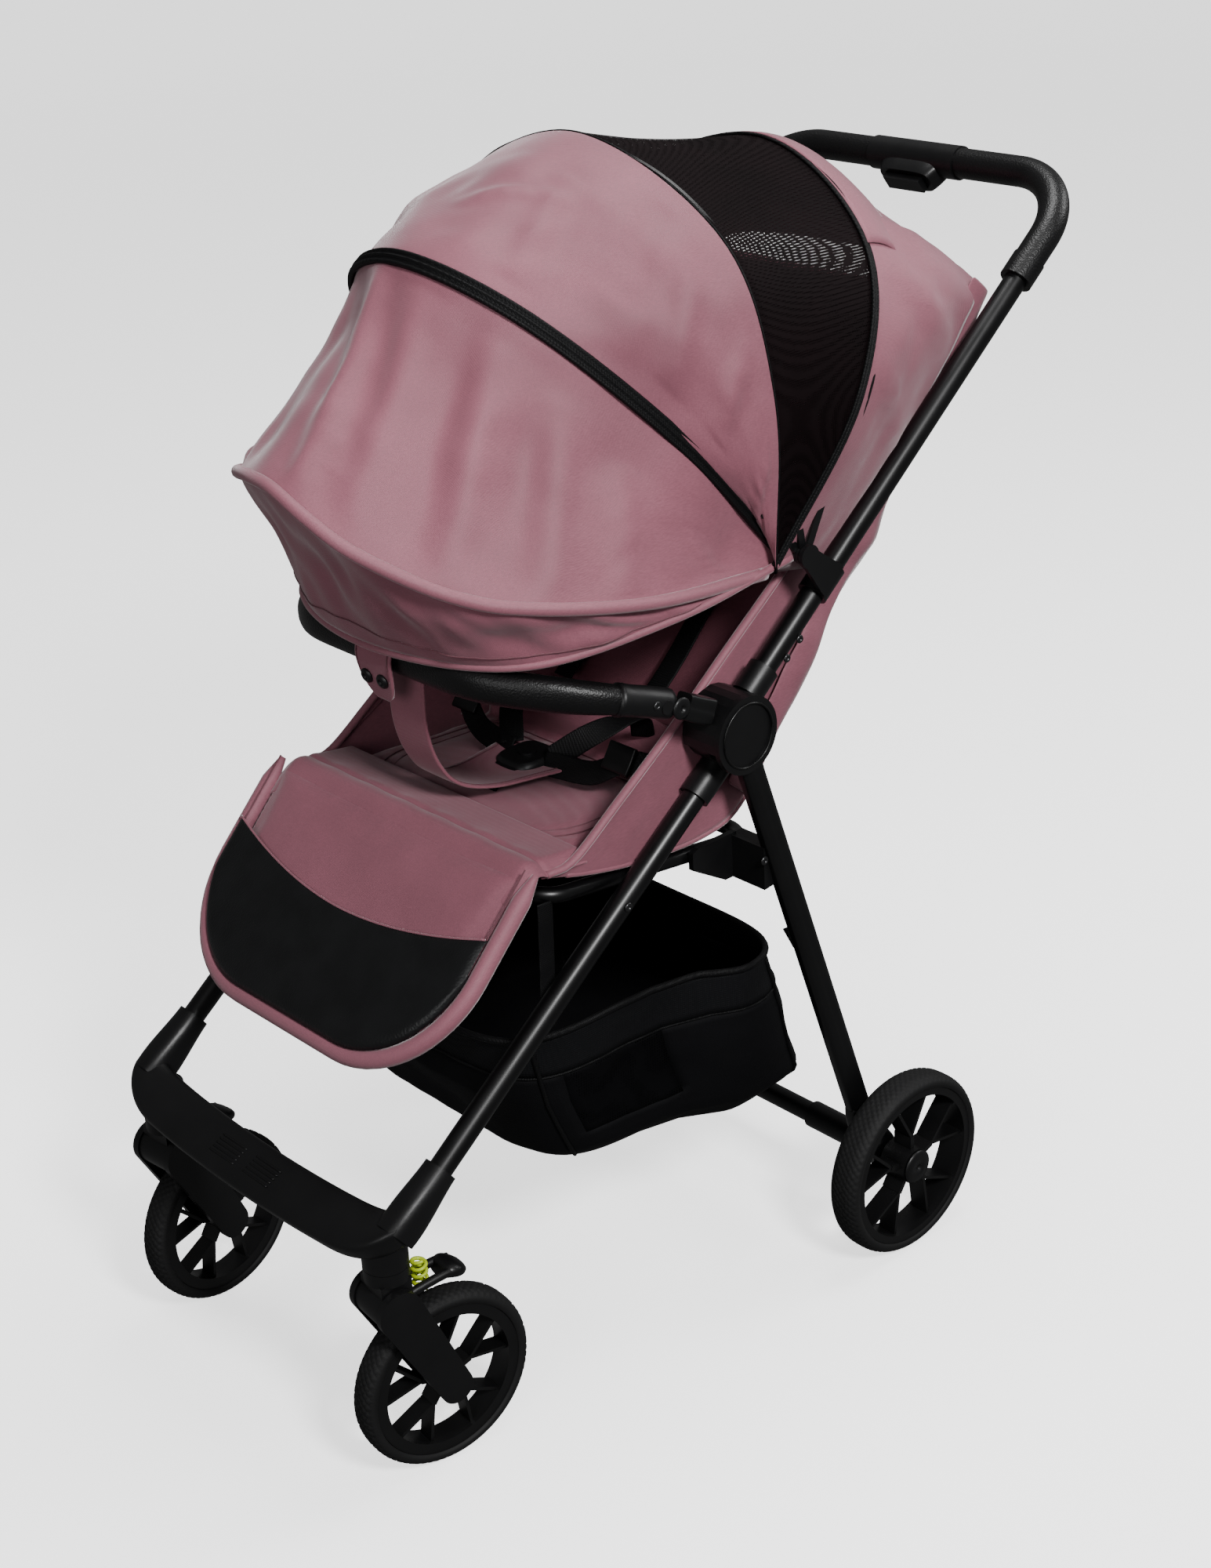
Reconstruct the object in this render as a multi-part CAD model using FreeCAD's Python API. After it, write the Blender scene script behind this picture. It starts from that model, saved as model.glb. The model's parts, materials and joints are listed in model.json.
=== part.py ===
"""Folding baby stroller: two-hub frame, toed-in front casters, fan canopy, quilted seat and basket.

Millimetres, +Z up, the stroller faces -Y, +X is its left-hand side. Every outline is drawn with
y measured from the hub axle; save() moves it so that the stroller's middle stands at the origin.
"""
import FreeCAD
import Part
import math
import os

V = FreeCAD.Vector

# ---- overall layout (side view: y from the hub axle, z from the floor) ----
HUB_Z = 628.0
HUB_TO_MIDDLE = 29.68         # the middle of the stroller's length lies this far behind the hub
HANDLE_X = 208.0              # tube planes, half the distance between left and right
FRONT_LEG_X = 196.0
REAR_LEG_TOP_X = 219.5
REAR_LEG_BOTTOM_X = 250.0
HANDLE_SLOPE = 38.9           # degrees above the horizontal
HANDLE_LENGTH = 660.0         # hub to the handlebar's axis, along the tube
LEG_SLOPE = 37.0
LEG_LENGTH = 522.0            # hub to the end of the front leg tube

# ---- tubes ----
TUBE_D = 23.0
TUBE_WALL = 1.6
GRIP_D = 31.0
BODY_GAP = 0.5                # clearance between pieces that turn past each other

# ---- hub ----
HUB_R = 38.4
HUB_FACE_X = 233.4            # outer face of the hub cap
KNUCKLE_R = 33.0
HUB_PIN_R = 8.0
PIN_GAP = 0.05

# ---- wheels ----
REAR_WHEEL_D = 198.8
REAR_TYRE_W = 35.0
REAR_WHEEL_X = 277.4
REAR_AXLE_Y = 167.7
FRONT_WHEEL_D = 181.8
FRONT_TYRE_W = 30.0
TYRE_DEPTH = 13.0
REAR_RIM_BAND = 7.9           # depth of the rim's solid band under the tyre
FRONT_RIM_BAND = 10.9
REAR_RIM_OPENING_R = REAR_WHEEL_D / 2 - TYRE_DEPTH - REAR_RIM_BAND
FRONT_RIM_OPENING_R = FRONT_WHEEL_D / 2 - TYRE_DEPTH - FRONT_RIM_BAND
CASTER_X = 178.0
CASTER_Y = -423.5
CASTER_TRAIL = 46.6
CASTER_TOE = 6.4              # degrees, trailing ends outward
AXLE_R = 5.0
SPOKE_PAIRS = 5

# ---- rear legs ----
REAR_LEG_DEEP = 28.0
REAR_LEG_THICK = 14.0
REAR_LEG_TOP = (16.3, 581.5)
REAR_LEG_BOTTOM = (138.0, 142.0)
REAR_LEG_RISE = 36.0          # the tube goes this far up into the knuckle
AXLE_TUBE_D = 22.0

# ---- casters ----
COLUMN_R = 21.5
COLUMN_SEAM_Z = 238.0
COLUMN_TOP_Z = 272.0
STEM_TOP_Z = 262.0
FORK_PIVOT_Z = 198.0
FORK_PIVOT_Y = -427.5
FORK_TOP_R = 22.0
FORK_FOOT_R = 17.0
FORK_PLATE = 8.0
FORK_OUTER = 27.5

# ---- canopy fan ----
CANOPY_PIVOT = (94.8, 774.2)
CANOPY_CLOTH = 1.5
BOW_THICK = 3.0
BOW_DEEP = 7.0
# name: (angle about the pivot, reach, half-width at foot, at 0.45 reach, near the top, where)
BOWS = {
    "rear": (63.0, 372.5, 205.0, 236.0, 176.0, 0.80),
    "mid": (99.9, 377.0, 205.0, 228.0, 177.0, 0.81),
    "zip": (132.3, 399.7, 198.0, 192.0, 118.0, 0.85),
    "visor": (163.1, 449.0, 200.0, 207.0, 150.0, 0.83),
    "flap": (183.0, 350.0, 203.0, 206.0, 158.0, 0.86),
    "back": (33.5, 360.0, 205.0, 210.0, 184.0, 0.86),
}
BOW_FOOT = 58.0               # a bow strip starts this far out from the pivot
LUG_R = 4.0
CLOTH_FOOT = BOW_FOOT + 12.0 + LUG_R + 1.0
CLOTH_STAND_OFF = 1.0

# ---- seat ----
SEAT_HALF = 181.0
CREASE_Y = -213.0
CREASE_Z = 545.0
SEAT_REAR_Y = 20.0
SEAT_THICK = 24.0
BACK_PIVOT = (30.0, 532.0)
BACK_ANGLE = 49.4
BACK_LENGTH = 545.0
BACK_THICK = 22.0
LEGREST_LENGTH = 223.0
LEGREST_ANGLE = 45.8
LEGREST_HALF = 190.5
LEGREST_CORNER_R = 118.0
LEGREST_THICK = 20.0
RAIL_X = 168.0
RAIL_D = 16.0
RAIL_FRONT = (-205.0, 515.0)
RAIL_PIN = (-20.6, 491.1)

# ---- bumper bar ----
BAR_D = 25.0
BAR_X = 213.0
BAR_JOINT = (-78.0, 680.0)
BAR_FRONT = (-228.0, 722.0)
BAR_ELBOW = (-108.0, 692.0)
BAR_SHOULDER = (181.0, -180.0, 713.0)
BAR_CORNER_X = 116.0          # half the length of the bar's straight front

# ---- basket ----
BASKET_CLOTH = 1.5
BASKET_POINTS = 40
BASKET_NECK = (-62.0, 20.0)   # from here to here it widens behind the folding front legs
# from the floor up: half-width in front and behind, y in front and behind, z in front and behind
BASKET_LEVELS = ((148.0, 180.0, -190.0, 118.0, 206.0, 184.0), (171.0, 202.0, -216.0, 140.0, 228.0, 204.0),
                 (178.0, 209.0, -248.0, 114.0, 300.0, 286.0), (181.0, 212.0, -262.0, 86.0, 384.0, 368.0))

# ---- details ----
HANDLE_BEND = 75.0            # bend radius of the handle's corners
POD_HALF = 57.0               # half the length of the release pod on the handlebar
LEG_OFFSET = 27.0             # the front leg's line passes this far below the hub axle
COLLAR_R = 15.0               # outer radius of the sockets at the hub
REAR_PLANE = (REAR_LEG_TOP_X - REAR_LEG_THICK / 2, REAR_LEG_TOP_X + REAR_LEG_THICK / 2)
TRIGGER_HALF = 24.0
LEG_AWAY = 180.0 + LEG_SLOPE
SLEEVE_DEPTH = 43.0           # how far a front leg goes into the footrest's sleeve
STEP_Y = -432.0               # middle of the footrest's step
STEP_Z = 270.0
REAR_AXLE_Z = REAR_WHEEL_D / 2
FRONT_AXLE_Z = FRONT_WHEEL_D / 2
FRONT_AXLE_Y = CASTER_Y + CASTER_TRAIL
REAR_PIN_END = REAR_WHEEL_X + REAR_TYRE_W / 2 - 4.0
FORK_INNER = FORK_OUTER - FORK_PLATE
SPRING_TOP = (CASTER_Y + 31.0, 227.0)
SPRING_FOOT = (CASTER_Y + 36.0, 196.0)
SPRING_R = 8.0
SPRING_WIRE_R = 1.5
PEDAL_PIVOT = (REAR_AXLE_Y + 21.0, REAR_AXLE_Z + 12.0)
ARM_THICK = 2.6
CANOPY_PIN_R = 3.0
ARM_STEP = ARM_THICK + BODY_GAP
ARM_X = {"rear": 218.9, "mid": 218.9 - ARM_STEP, "zip": 218.9 - 2 * ARM_STEP,
         "visor": 218.9 - 3 * ARM_STEP}
BUTTON_R = 6.5
BUTTON_TRAVEL = 3.0
BUTTON_X = (BAR_X + 6.0, BAR_X + BAR_D / 2 + 3.0)


def at(x, y, z):
    return V(x, y, z)


def along(y, z, angle, distance, offset=0.0):
    """Side-view point at a distance along an angle, then off to the left of that line."""
    a = math.radians(angle)
    return (y + distance * math.cos(a) - offset * math.sin(a),
            z + distance * math.sin(a) + offset * math.cos(a))


def rod(start, end, radius):
    axis = end - start
    return Part.makeCylinder(radius, axis.Length, start, axis)


def pin_x(x0, x1, y, z, radius):
    return Part.makeCylinder(radius, x1 - x0, at(x0, y, z), at(1, 0, 0))


def block(x, y, z):
    return Part.makeBox(x[1] - x[0], y[1] - y[0], z[1] - z[0], at(x[0], y[0], z[0]))


def mirror(shape):
    return shape.mirror(at(0, 0, 0), at(1, 0, 0))


def fused(shapes):
    whole = shapes[0]
    for shape in shapes[1:]:
        whole = whole.fuse(shape)
    return whole.removeSplitter()


def path(points, bend):
    """Straight runs joined by tangent arcs of one radius."""
    edges = []
    last = points[0]
    for before, corner, after in zip(points, points[1:], points[2:]):
        inward = (before - corner).normalize()
        outward = (after - corner).normalize()
        half = inward.getAngle(outward) / 2
        reach = bend / math.tan(half)
        start = corner + inward * reach
        end = corner + outward * reach
        middle_line = (inward + outward).normalize()
        centre = corner + middle_line * (bend / math.sin(half))
        middle = centre - middle_line * bend
        if (start - last).Length > 0.01:
            edges.append(Part.LineSegment(last, start).toShape())
        edges.append(Part.Arc(start, middle, end).toShape())
        last = end
    edges.append(Part.LineSegment(last, points[-1]).toShape())
    return Part.Wire(edges)


def bent_bar(points, bend, radius):
    spine = path(points, bend)
    first = (points[1] - points[0]).normalize()
    ring = Part.Wire(Part.Circle(points[0], first, radius).toShape())
    return spine.makePipeShell([ring], True, False)


def bent_tube(points, bend, outer, inner):
    return bent_bar(points, bend, outer).cut(bent_bar(points, bend, inner))


def oval(centre, across, up, half_across, half_up, square=2.0, count=24):
    """Closed smooth section: an ellipse at square 2, nearer to a rectangle above that."""
    points = []
    for step in range(count):
        angle = 2 * math.pi * step / count
        c, s = math.cos(angle), math.sin(angle)
        u = math.copysign(abs(c) ** (2 / square), c) * half_across
        v = math.copysign(abs(s) ** (2 / square), s) * half_up
        points.append(centre + across * u + up * v)
    curve = Part.BSplineCurve()
    curve.interpolate(points, PeriodicFlag=True)
    return Part.Wire(curve.toShape())


def loft(sections, ruled=False):
    return Part.makeLoft(sections, True, ruled)


def side_plate(outline, x0, x1):
    """Plate between two X planes from a closed side-view outline of (y, z) points."""
    wire = Part.makePolygon([at(x0, y, z) for y, z in outline + outline[:1]])
    return Part.Face(wire).extrude(at(x1 - x0, 0, 0))


def save(node, shape):
    moved = shape.copy()
    moved.translate(at(0, -HUB_TO_MIDDLE, 0))
    if len(moved.Solids) == 1:
        moved = moved.Solids[0]
    if not moved.isValid():
        print("not valid:", node)
    moved.exportStep("parts/%s.step" % node)


def save_pair(node, left):
    save(node + "_left", left)
    save(node + "_right", mirror(left))


# ---- frame -------------------------------------------------------------------------------

HANDLE_START = along(0, HUB_Z, HANDLE_SLOPE, 44.0, 4.7)
HANDLE_AXIS = along(0, HUB_Z, HANDLE_SLOPE, HANDLE_LENGTH, 4.7)
GRIP_START = along(0, HUB_Z, HANDLE_SLOPE, 532.0, 4.7)
PLATE_X = (REAR_PLANE[1] + BODY_GAP, HUB_FACE_X - 2.4)


def handle_route(start, x_end):
    return [at(HANDLE_X, *start), at(HANDLE_X, *HANDLE_AXIS), at(x_end, *HANDLE_AXIS)]


def handle_tube():
    return bent_tube(handle_route(HANDLE_START, 1.0), HANDLE_BEND, TUBE_D / 2, TUBE_D / 2 - TUBE_WALL)


def grip():
    route = handle_route(GRIP_START, POD_HALF)
    sleeve = bent_bar(route, HANDLE_BEND, GRIP_D / 2)
    collar = rod(at(HANDLE_X, *GRIP_START), at(HANDLE_X, *along(*GRIP_START, HANDLE_SLOPE, 26.0)),
                 GRIP_D / 2 + 1.2)
    core = bent_bar(handle_route(HANDLE_START, 1.0), HANDLE_BEND, TUBE_D / 2)
    return fused([sleeve, collar]).cut(core)


POD_NORMAL = V(0, math.cos(math.radians(HANDLE_SLOPE)), math.sin(math.radians(HANDLE_SLOPE)))
POD_TILT = V(0, -math.sin(math.radians(HANDLE_SLOPE)), math.cos(math.radians(HANDLE_SLOPE)))


def pod_point(x, tilt, normal):
    return at(x, *HANDLE_AXIS) + POD_TILT * tilt + POD_NORMAL * normal


def pod_block(x0, x1, tilt, normal):
    """Box given by its spans along X, across the handle's plane and along it."""
    corner = pod_point(x0, tilt[0], normal[0])
    edge_x = at(x1 - x0, 0, 0)
    edge_t = POD_TILT * (tilt[1] - tilt[0])
    face = Part.Face(Part.makePolygon([corner, corner + edge_x, corner + edge_x + edge_t,
                                       corner + edge_t, corner]))
    return face.extrude(POD_NORMAL * (normal[1] - normal[0]))


def handle_pod():
    barrel = rod(at(-POD_HALF, *HANDLE_AXIS), at(POD_HALF, *HANDLE_AXIS), GRIP_D / 2 + 2.0)
    housing = loft([oval(pod_point(0, -4, -n), at(1, 0, 0), POD_TILT, a, b, 4.0)
                    for n, a, b in ((6, 41, 15), (18, 37, 16), (27, 33, 15))])
    body = fused([barrel, housing])
    body = body.cut(rod(at(-POD_HALF, *HANDLE_AXIS), at(POD_HALF, *HANDLE_AXIS), TUBE_D / 2))
    slot = pod_block(-TRIGGER_HALF - BODY_GAP, TRIGGER_HALF + BODY_GAP, (-13.5, 5.5), (-28.0, -14.0))
    return body.cut(slot)


def fold_trigger():
    """Squeeze trigger that rises into the pod and pulls the fold cables."""
    return pod_block(-TRIGGER_HALF, TRIGGER_HALF, (-12.5, 4.5), (-34.0, -21.0))


def hub_sector(r0, r1, x0, x1, start, end):
    """Part of a ring about the hub axle, between two side-view angles."""
    span = math.radians(end - start)
    steps = 12
    ring = []
    for radius, order in ((r1, range(steps + 1)), (r0, range(steps, -1, -1))):
        for step in order:
            a = math.radians(start) + span * step / steps
            ring.append((radius * math.cos(a), HUB_Z + radius * math.sin(a)))
    return side_plate(ring, x0, x1)


def hub_housing():
    plate = pin_x(PLATE_X[0], PLATE_X[1], 0, HUB_Z, HUB_R)
    rim = hub_sector(KNUCKLE_R + 1.5, HUB_R, 186.0, PLATE_X[1], 15.0, 195.0)
    near = along(0, HUB_Z, HANDLE_SLOPE, KNUCKLE_R + 2.5, 4.7)
    far = along(0, HUB_Z, HANDLE_SLOPE, 66.0, 4.7)
    socket = rod(at(HANDLE_X, *near), at(HANDLE_X, *far), COLLAR_R)
    web = hub_sector(KNUCKLE_R + 1.5, HUB_R, HANDLE_X, PLATE_X[1], 20.0, 60.0)
    tab = loft([oval(at(BAR_X + 2, y, z), at(1, 0, 0), V(0, 0.42, 0.91), 9.5, h, 6.0)
                for y, z, h in ((-33.5, HUB_Z + 31.0, 12.5), (-52.0, HUB_Z + 40.0, 12.5),
                                (BAR_JOINT[0] + 13.5, BAR_JOINT[1] - 5.2, 12.0))])
    bore = rod(at(HANDLE_X, *HANDLE_START), at(HANDLE_X, *far), TUBE_D / 2)
    pin_hole = pin_x(PLATE_X[0] - 1, PLATE_X[1] + 1, 0, HUB_Z, HUB_PIN_R)
    return fused([plate, rim, web, socket, tab]).cut(bore).cut(pin_hole)


def hub_cap():
    disc = pin_x(PLATE_X[1], HUB_FACE_X, 0, HUB_Z, HUB_R)
    recess = pin_x(HUB_FACE_X - 1.2, HUB_FACE_X + 1, 0, HUB_Z, HUB_R - 8.0)
    return disc.cut(recess)


def hub_pin():
    return pin_x(182.5, PLATE_X[1], 0, HUB_Z, HUB_PIN_R)


COLLAR_START = along(0, HUB_Z, LEG_AWAY, 12.0, LEG_OFFSET)
COLLAR_END = along(0, HUB_Z, LEG_AWAY, 66.0, LEG_OFFSET)
LEG_START = along(0, HUB_Z, LEG_AWAY, 30.0, LEG_OFFSET)
LEG_END = along(0, HUB_Z, LEG_AWAY, LEG_LENGTH, LEG_OFFSET)


def leg_collar():
    """Knuckle on the hub pin with the socket that holds the front leg tube."""
    disc = pin_x(184.5, FRONT_LEG_X + COLLAR_R - 0.6, 0, HUB_Z, KNUCKLE_R)
    socket = rod(at(FRONT_LEG_X, *COLLAR_START), at(FRONT_LEG_X, *COLLAR_END), COLLAR_R)
    body = fused([disc, socket])
    body = body.cut(rod(at(FRONT_LEG_X, *LEG_START), at(FRONT_LEG_X, *COLLAR_END), TUBE_D / 2))
    body = body.cut(pin_x(170, 230, 0, HUB_Z, HUB_PIN_R + PIN_GAP))
    inboard = block((150, 182.0), (-200, 200), (HUB_Z - 200, HUB_Z + 200))
    return body.cut(inboard)


def front_leg():
    outer = rod(at(FRONT_LEG_X, *LEG_START), at(FRONT_LEG_X, *LEG_END), TUBE_D / 2)
    inner = rod(at(FRONT_LEG_X, *LEG_START), at(FRONT_LEG_X, *LEG_END), TUBE_D / 2 - TUBE_WALL)
    return outer.cut(inner)


SLEEVE_TOP = along(0, HUB_Z, LEG_AWAY, LEG_LENGTH - SLEEVE_DEPTH, LEG_OFFSET)
STEP_TILT = V(0, 0.915, 0.403)
STEP_FACE = V(0, -0.403, 0.915)


def footrest():
    """One moulded piece: two leg sleeves, the step across them and the caster columns."""
    leg = V(0, -math.cos(math.radians(LEG_SLOPE)), -math.sin(math.radians(LEG_SLOPE)))
    cross = V(0, -leg.z, leg.y)
    top = at(FRONT_LEG_X, *SLEEVE_TOP)
    arm = loft([oval(top + leg * run, V(1, 0, 0), cross, wide, deep, square)
                for run, wide, deep, square in ((0, 15.0, 15.5, 2.3), (26, 16.0, 17.0, 2.5),
                                                (50, 16.5, 19.0, 2.8), (72, 15.5, 19.0, 2.8))])
    end_x = FRONT_LEG_X + 12.0
    half = ((end_x, -14, 14, 11, 14), (end_x - 12, -7, 8, 14, 21), (end_x - 34, 1, 2, 12, 25),
            (end_x - 74, 7, 0, 9, 26), (end_x - 130, 10, -1, 8, 26))
    stations = half + ((0.0, 12, -1, 8, 26),) + tuple((-x, *rest) for x, *rest in reversed(half))
    step = loft([oval(at(x, STEP_Y - bow, STEP_Z + rise), STEP_FACE, STEP_TILT, thick, deep, 3.5)
                 for x, bow, rise, thick, deep in stations])
    column = Part.makeCylinder(COLUMN_R, COLUMN_TOP_Z - COLUMN_SEAM_Z,
                               at(CASTER_X, CASTER_Y, COLUMN_SEAM_Z), at(0, 0, 1))
    whole = fused([step, arm, column, mirror(arm), mirror(column)])
    for side in (1, -1):
        whole = whole.cut(rod(at(side * FRONT_LEG_X, *LEG_START), at(side * FRONT_LEG_X, *LEG_END),
                              TUBE_D / 2))
        whole = whole.cut(Part.makeCylinder(AXLE_R + 2 + PIN_GAP, STEM_TOP_Z + 1 - COLUMN_SEAM_Z,
                                            at(side * CASTER_X, CASTER_Y, COLUMN_SEAM_Z - 1),
                                            at(0, 0, 1)))
    return whole


# ---- wheels and casters ------------------------------------------------------------------

def ring_about_x(outer, inner, width):
    body = pin_x(-width / 2, width / 2, 0, 0, outer)
    return body.cut(pin_x(-width, width, 0, 0, inner))


def tyre(diameter, width):
    """Solid foam tyre with a crowned tread."""
    r1, r0, h = diameter / 2, diameter / 2 - TYRE_DEPTH, width / 2
    crown = Part.Arc(at(-h + 4, 0, r1 - 2.2), at(0, 0, r1), at(h - 4, 0, r1 - 2.2)).toShape()
    side = [at(h - 4, 0, r1 - 2.2), at(h, 0, r1 - 8), at(h, 0, r0), at(-h, 0, r0),
            at(-h, 0, r1 - 8), at(-h + 4, 0, r1 - 2.2)]
    wire = Part.Wire([crown, *Part.makePolygon(side).Edges])
    return Part.Face(wire).revolve(at(0, 0, 0), at(1, 0, 0), 360)


def rim(diameter, width, opening, hub_length, cap_r, bore_r):
    """Rim ring, hub and pairs of thin spokes that part like a Y towards the ring."""
    ring = ring_about_x(diameter / 2 - TYRE_DEPTH, opening, width - 4)
    hub = pin_x(-hub_length / 2, hub_length / 2, 0, 0, cap_r)
    pieces = [ring, hub]
    fork_r = opening * 0.42
    for pair in range(SPOKE_PAIRS):
        turn = 360.0 / SPOKE_PAIRS * pair + 90
        root = along(0, 0, turn, fork_r)
        stem = side_plate(strip((0, 0), root, 5.0), -width * 0.32, width * 0.32)
        pieces.append(stem)
        for lean in (-17.0, 17.0):
            end = along(0, 0, turn + lean, opening + 2.0)
            pieces.append(side_plate(strip(root, end, 3.2), -width * 0.3, width * 0.3))
    return fused(pieces).cut(pin_x(-60, 60, 0, 0, bore_r))


def strip(start, end, thick):
    dy, dz = end[0] - start[0], end[1] - start[1]
    size = math.hypot(dy, dz)
    ny, nz = -dz / size * thick / 2, dy / size * thick / 2
    return [(start[0] + ny, start[1] + nz), (end[0] + ny, end[1] + nz),
            (end[0] - ny, end[1] - nz), (start[0] - ny, start[1] - nz)]


def placed(shape, x, y, z):
    copy = shape.copy()
    copy.translate(at(x, y, z))
    return copy


def toed(shape):
    """A caster piece drawn straight, turned about its steering axis to its standing angle."""
    copy = shape.copy()
    copy.rotate(at(CASTER_X, CASTER_Y, 0), at(0, 0, 1), -CASTER_TOE)
    return copy


def caster_swivel():
    """Steering stem, column foot and the cross barrel that carries the fork."""
    stem = Part.makeCylinder(AXLE_R + 2, STEM_TOP_Z - FORK_PIVOT_Z - 14,
                             at(CASTER_X, CASTER_Y, FORK_PIVOT_Z + 14), at(0, 0, 1))
    column = Part.makeCylinder(COLUMN_R, 14.0 - BODY_GAP,
                               at(CASTER_X, CASTER_Y, COLUMN_SEAM_Z - 14.0), at(0, 0, 1))
    neck = block((CASTER_X - 18, CASTER_X + 18), (CASTER_Y - 17, CASTER_Y + 15),
                 (FORK_PIVOT_Z, COLUMN_SEAM_Z - 12))
    barrel = pin_x(CASTER_X - FORK_INNER + BODY_GAP, CASTER_X + FORK_INNER - BODY_GAP,
                   FORK_PIVOT_Y, FORK_PIVOT_Z, FORK_TOP_R - 1.5)
    body = fused([stem, column, neck, barrel])
    return body.cut(pin_x(CASTER_X - 40, CASTER_X + 40, FORK_PIVOT_Y, FORK_PIVOT_Z, AXLE_R + PIN_GAP))


def fork():
    """Two tapered plates, the pivot bolt through the swivel and the wheel's axle bolt."""
    run = math.hypot(FRONT_AXLE_Y - FORK_PIVOT_Y, FRONT_AXLE_Z - FORK_PIVOT_Z)
    tilt = math.degrees(math.atan2(FRONT_AXLE_Z - FORK_PIVOT_Z, FRONT_AXLE_Y - FORK_PIVOT_Y))
    lean = math.degrees(math.asin((FORK_TOP_R - FORK_FOOT_R) / run))
    taper = []
    for (y, z), radius in (((FORK_PIVOT_Y, FORK_PIVOT_Z), FORK_TOP_R),
                           ((FRONT_AXLE_Y, FRONT_AXLE_Z), FORK_FOOT_R)):
        taper.append(along(y, z, tilt + 90 - lean, radius))
        taper.append(along(y, z, tilt - 90 + lean, radius))
    outline = [taper[0], taper[2], taper[3], taper[1]]
    pieces = []
    for x0 in (CASTER_X + FORK_INNER, CASTER_X - FORK_OUTER):
        x1 = x0 + FORK_PLATE
        plate = fused([side_plate(outline, x0, x1),
                       pin_x(x0, x1, FORK_PIVOT_Y, FORK_PIVOT_Z, FORK_TOP_R),
                       pin_x(x0, x1, FRONT_AXLE_Y, FRONT_AXLE_Z, FORK_FOOT_R)])
        pieces.append(plate)
    for y, z in ((FORK_PIVOT_Y, FORK_PIVOT_Z), (FRONT_AXLE_Y, FRONT_AXLE_Z)):
        pieces.append(pin_x(CASTER_X - FORK_INNER - 1, CASTER_X + FORK_INNER + 1, y, z, AXLE_R))
    return fused(pieces)


def caster_spring():
    """Suspension spring behind the column, as one closed sleeve of its coils' outer shape."""
    start, end = at(CASTER_X, *SPRING_TOP), at(CASTER_X, *SPRING_FOOT)
    return rod(start, end, SPRING_R).cut(rod(start, end, SPRING_R - 2 * SPRING_WIRE_R))


def swivel_lock():
    """Foot lever over the wheel that locks the swivel straight."""
    pad = loft([oval(at(CASTER_X, CASTER_Y + y, z), at(1, 0, 0), V(0, 0.25, 0.97), a, b, 2.6)
                for y, z, a, b in ((52.0, 205.0, 12.0, 5.5), (59.0, 206.0, 16.0, 7.5),
                                   (68.0, 203.0, 16.0, 7.0), (76.0, 200.0, 11.0, 4.0))])
    return pad


def rear_leg_tube(wall):
    """Flat-oval tube from the knuckle to the foot, drawn in by a wall thickness."""
    knuckle = along(*REAR_LEG_TOP, 90.0 + rear_lean(), REAR_LEG_RISE - wall)
    stations = ((REAR_LEG_TOP_X, knuckle), (REAR_LEG_TOP_X, REAR_LEG_TOP),
                (REAR_LEG_BOTTOM_X, REAR_LEG_BOTTOM))
    ends = [oval(at(x, *place), at(1, 0, 0), at(0, 1, 0), REAR_LEG_THICK / 2 - wall,
                 REAR_LEG_DEEP / 2 - wall, 4.0) for x, place in stations]
    return loft(ends[:2], True).fuse(loft(ends[1:], True))


def rear_leg():
    """Hollow leg with the knuckle disc that turns on the hub pin."""
    disc = pin_x(REAR_PLANE[0], REAR_PLANE[1], 0, HUB_Z, KNUCKLE_R - 3)
    body = fused([rear_leg_tube(0.0).cut(rear_leg_tube(TUBE_WALL)), disc])
    return body.cut(pin_x(150, 260, 0, HUB_Z, HUB_PIN_R + PIN_GAP))


def rear_lean():
    return math.degrees(math.atan2(REAR_LEG_BOTTOM[0] - REAR_LEG_TOP[0],
                                   REAR_LEG_TOP[1] - REAR_LEG_BOTTOM[1]))


def rear_axle():
    """Cross tube with a bracket round each leg's foot and a pin for each wheel."""
    inner_end = REAR_WHEEL_X - REAR_TYRE_W / 2 - 2.0
    tube = pin_x(-inner_end + 6, inner_end - 6, REAR_AXLE_Y, REAR_AXLE_Z, AXLE_TUBE_D / 2)
    pieces = [tube]
    for side in (1, -1):
        foot = loft([oval(at(side * (REAR_LEG_BOTTOM_X - 1.5), y, z), at(1, 0, 0), at(0, 1, 0), a, b, 4.0)
                     for y, z, a, b in ((REAR_LEG_BOTTOM[0] - 6, REAR_LEG_BOTTOM[1] + 30, 9.0, 16.5),
                                        (REAR_LEG_BOTTOM[0] + 2, REAR_LEG_BOTTOM[1], 9.5, 18.0),
                                        (REAR_AXLE_Y - 6, REAR_AXLE_Z + 8, 9.5, 20.0),
                                        (REAR_AXLE_Y, REAR_AXLE_Z - 14, 8.5, 13.0))])
        pieces.append(foot)
        pieces.append(pin_x(min(side * 230, side * REAR_PIN_END), max(side * 230, side * REAR_PIN_END),
                            REAR_AXLE_Y, REAR_AXLE_Z, AXLE_R))
        pieces.append(pin_x(min(side * 150, side * 222), max(side * 150, side * 222),
                            REAR_AXLE_Y, REAR_AXLE_Z, AXLE_TUBE_D / 2 + 3.5))
    body = fused(pieces)
    leg = rear_leg_tube(0.0)
    bore = pin_x(-220, 220, REAR_AXLE_Y, REAR_AXLE_Z, AXLE_TUBE_D / 2 - TUBE_WALL)
    return body.cut(leg).cut(mirror(leg)).cut(bore)


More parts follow.
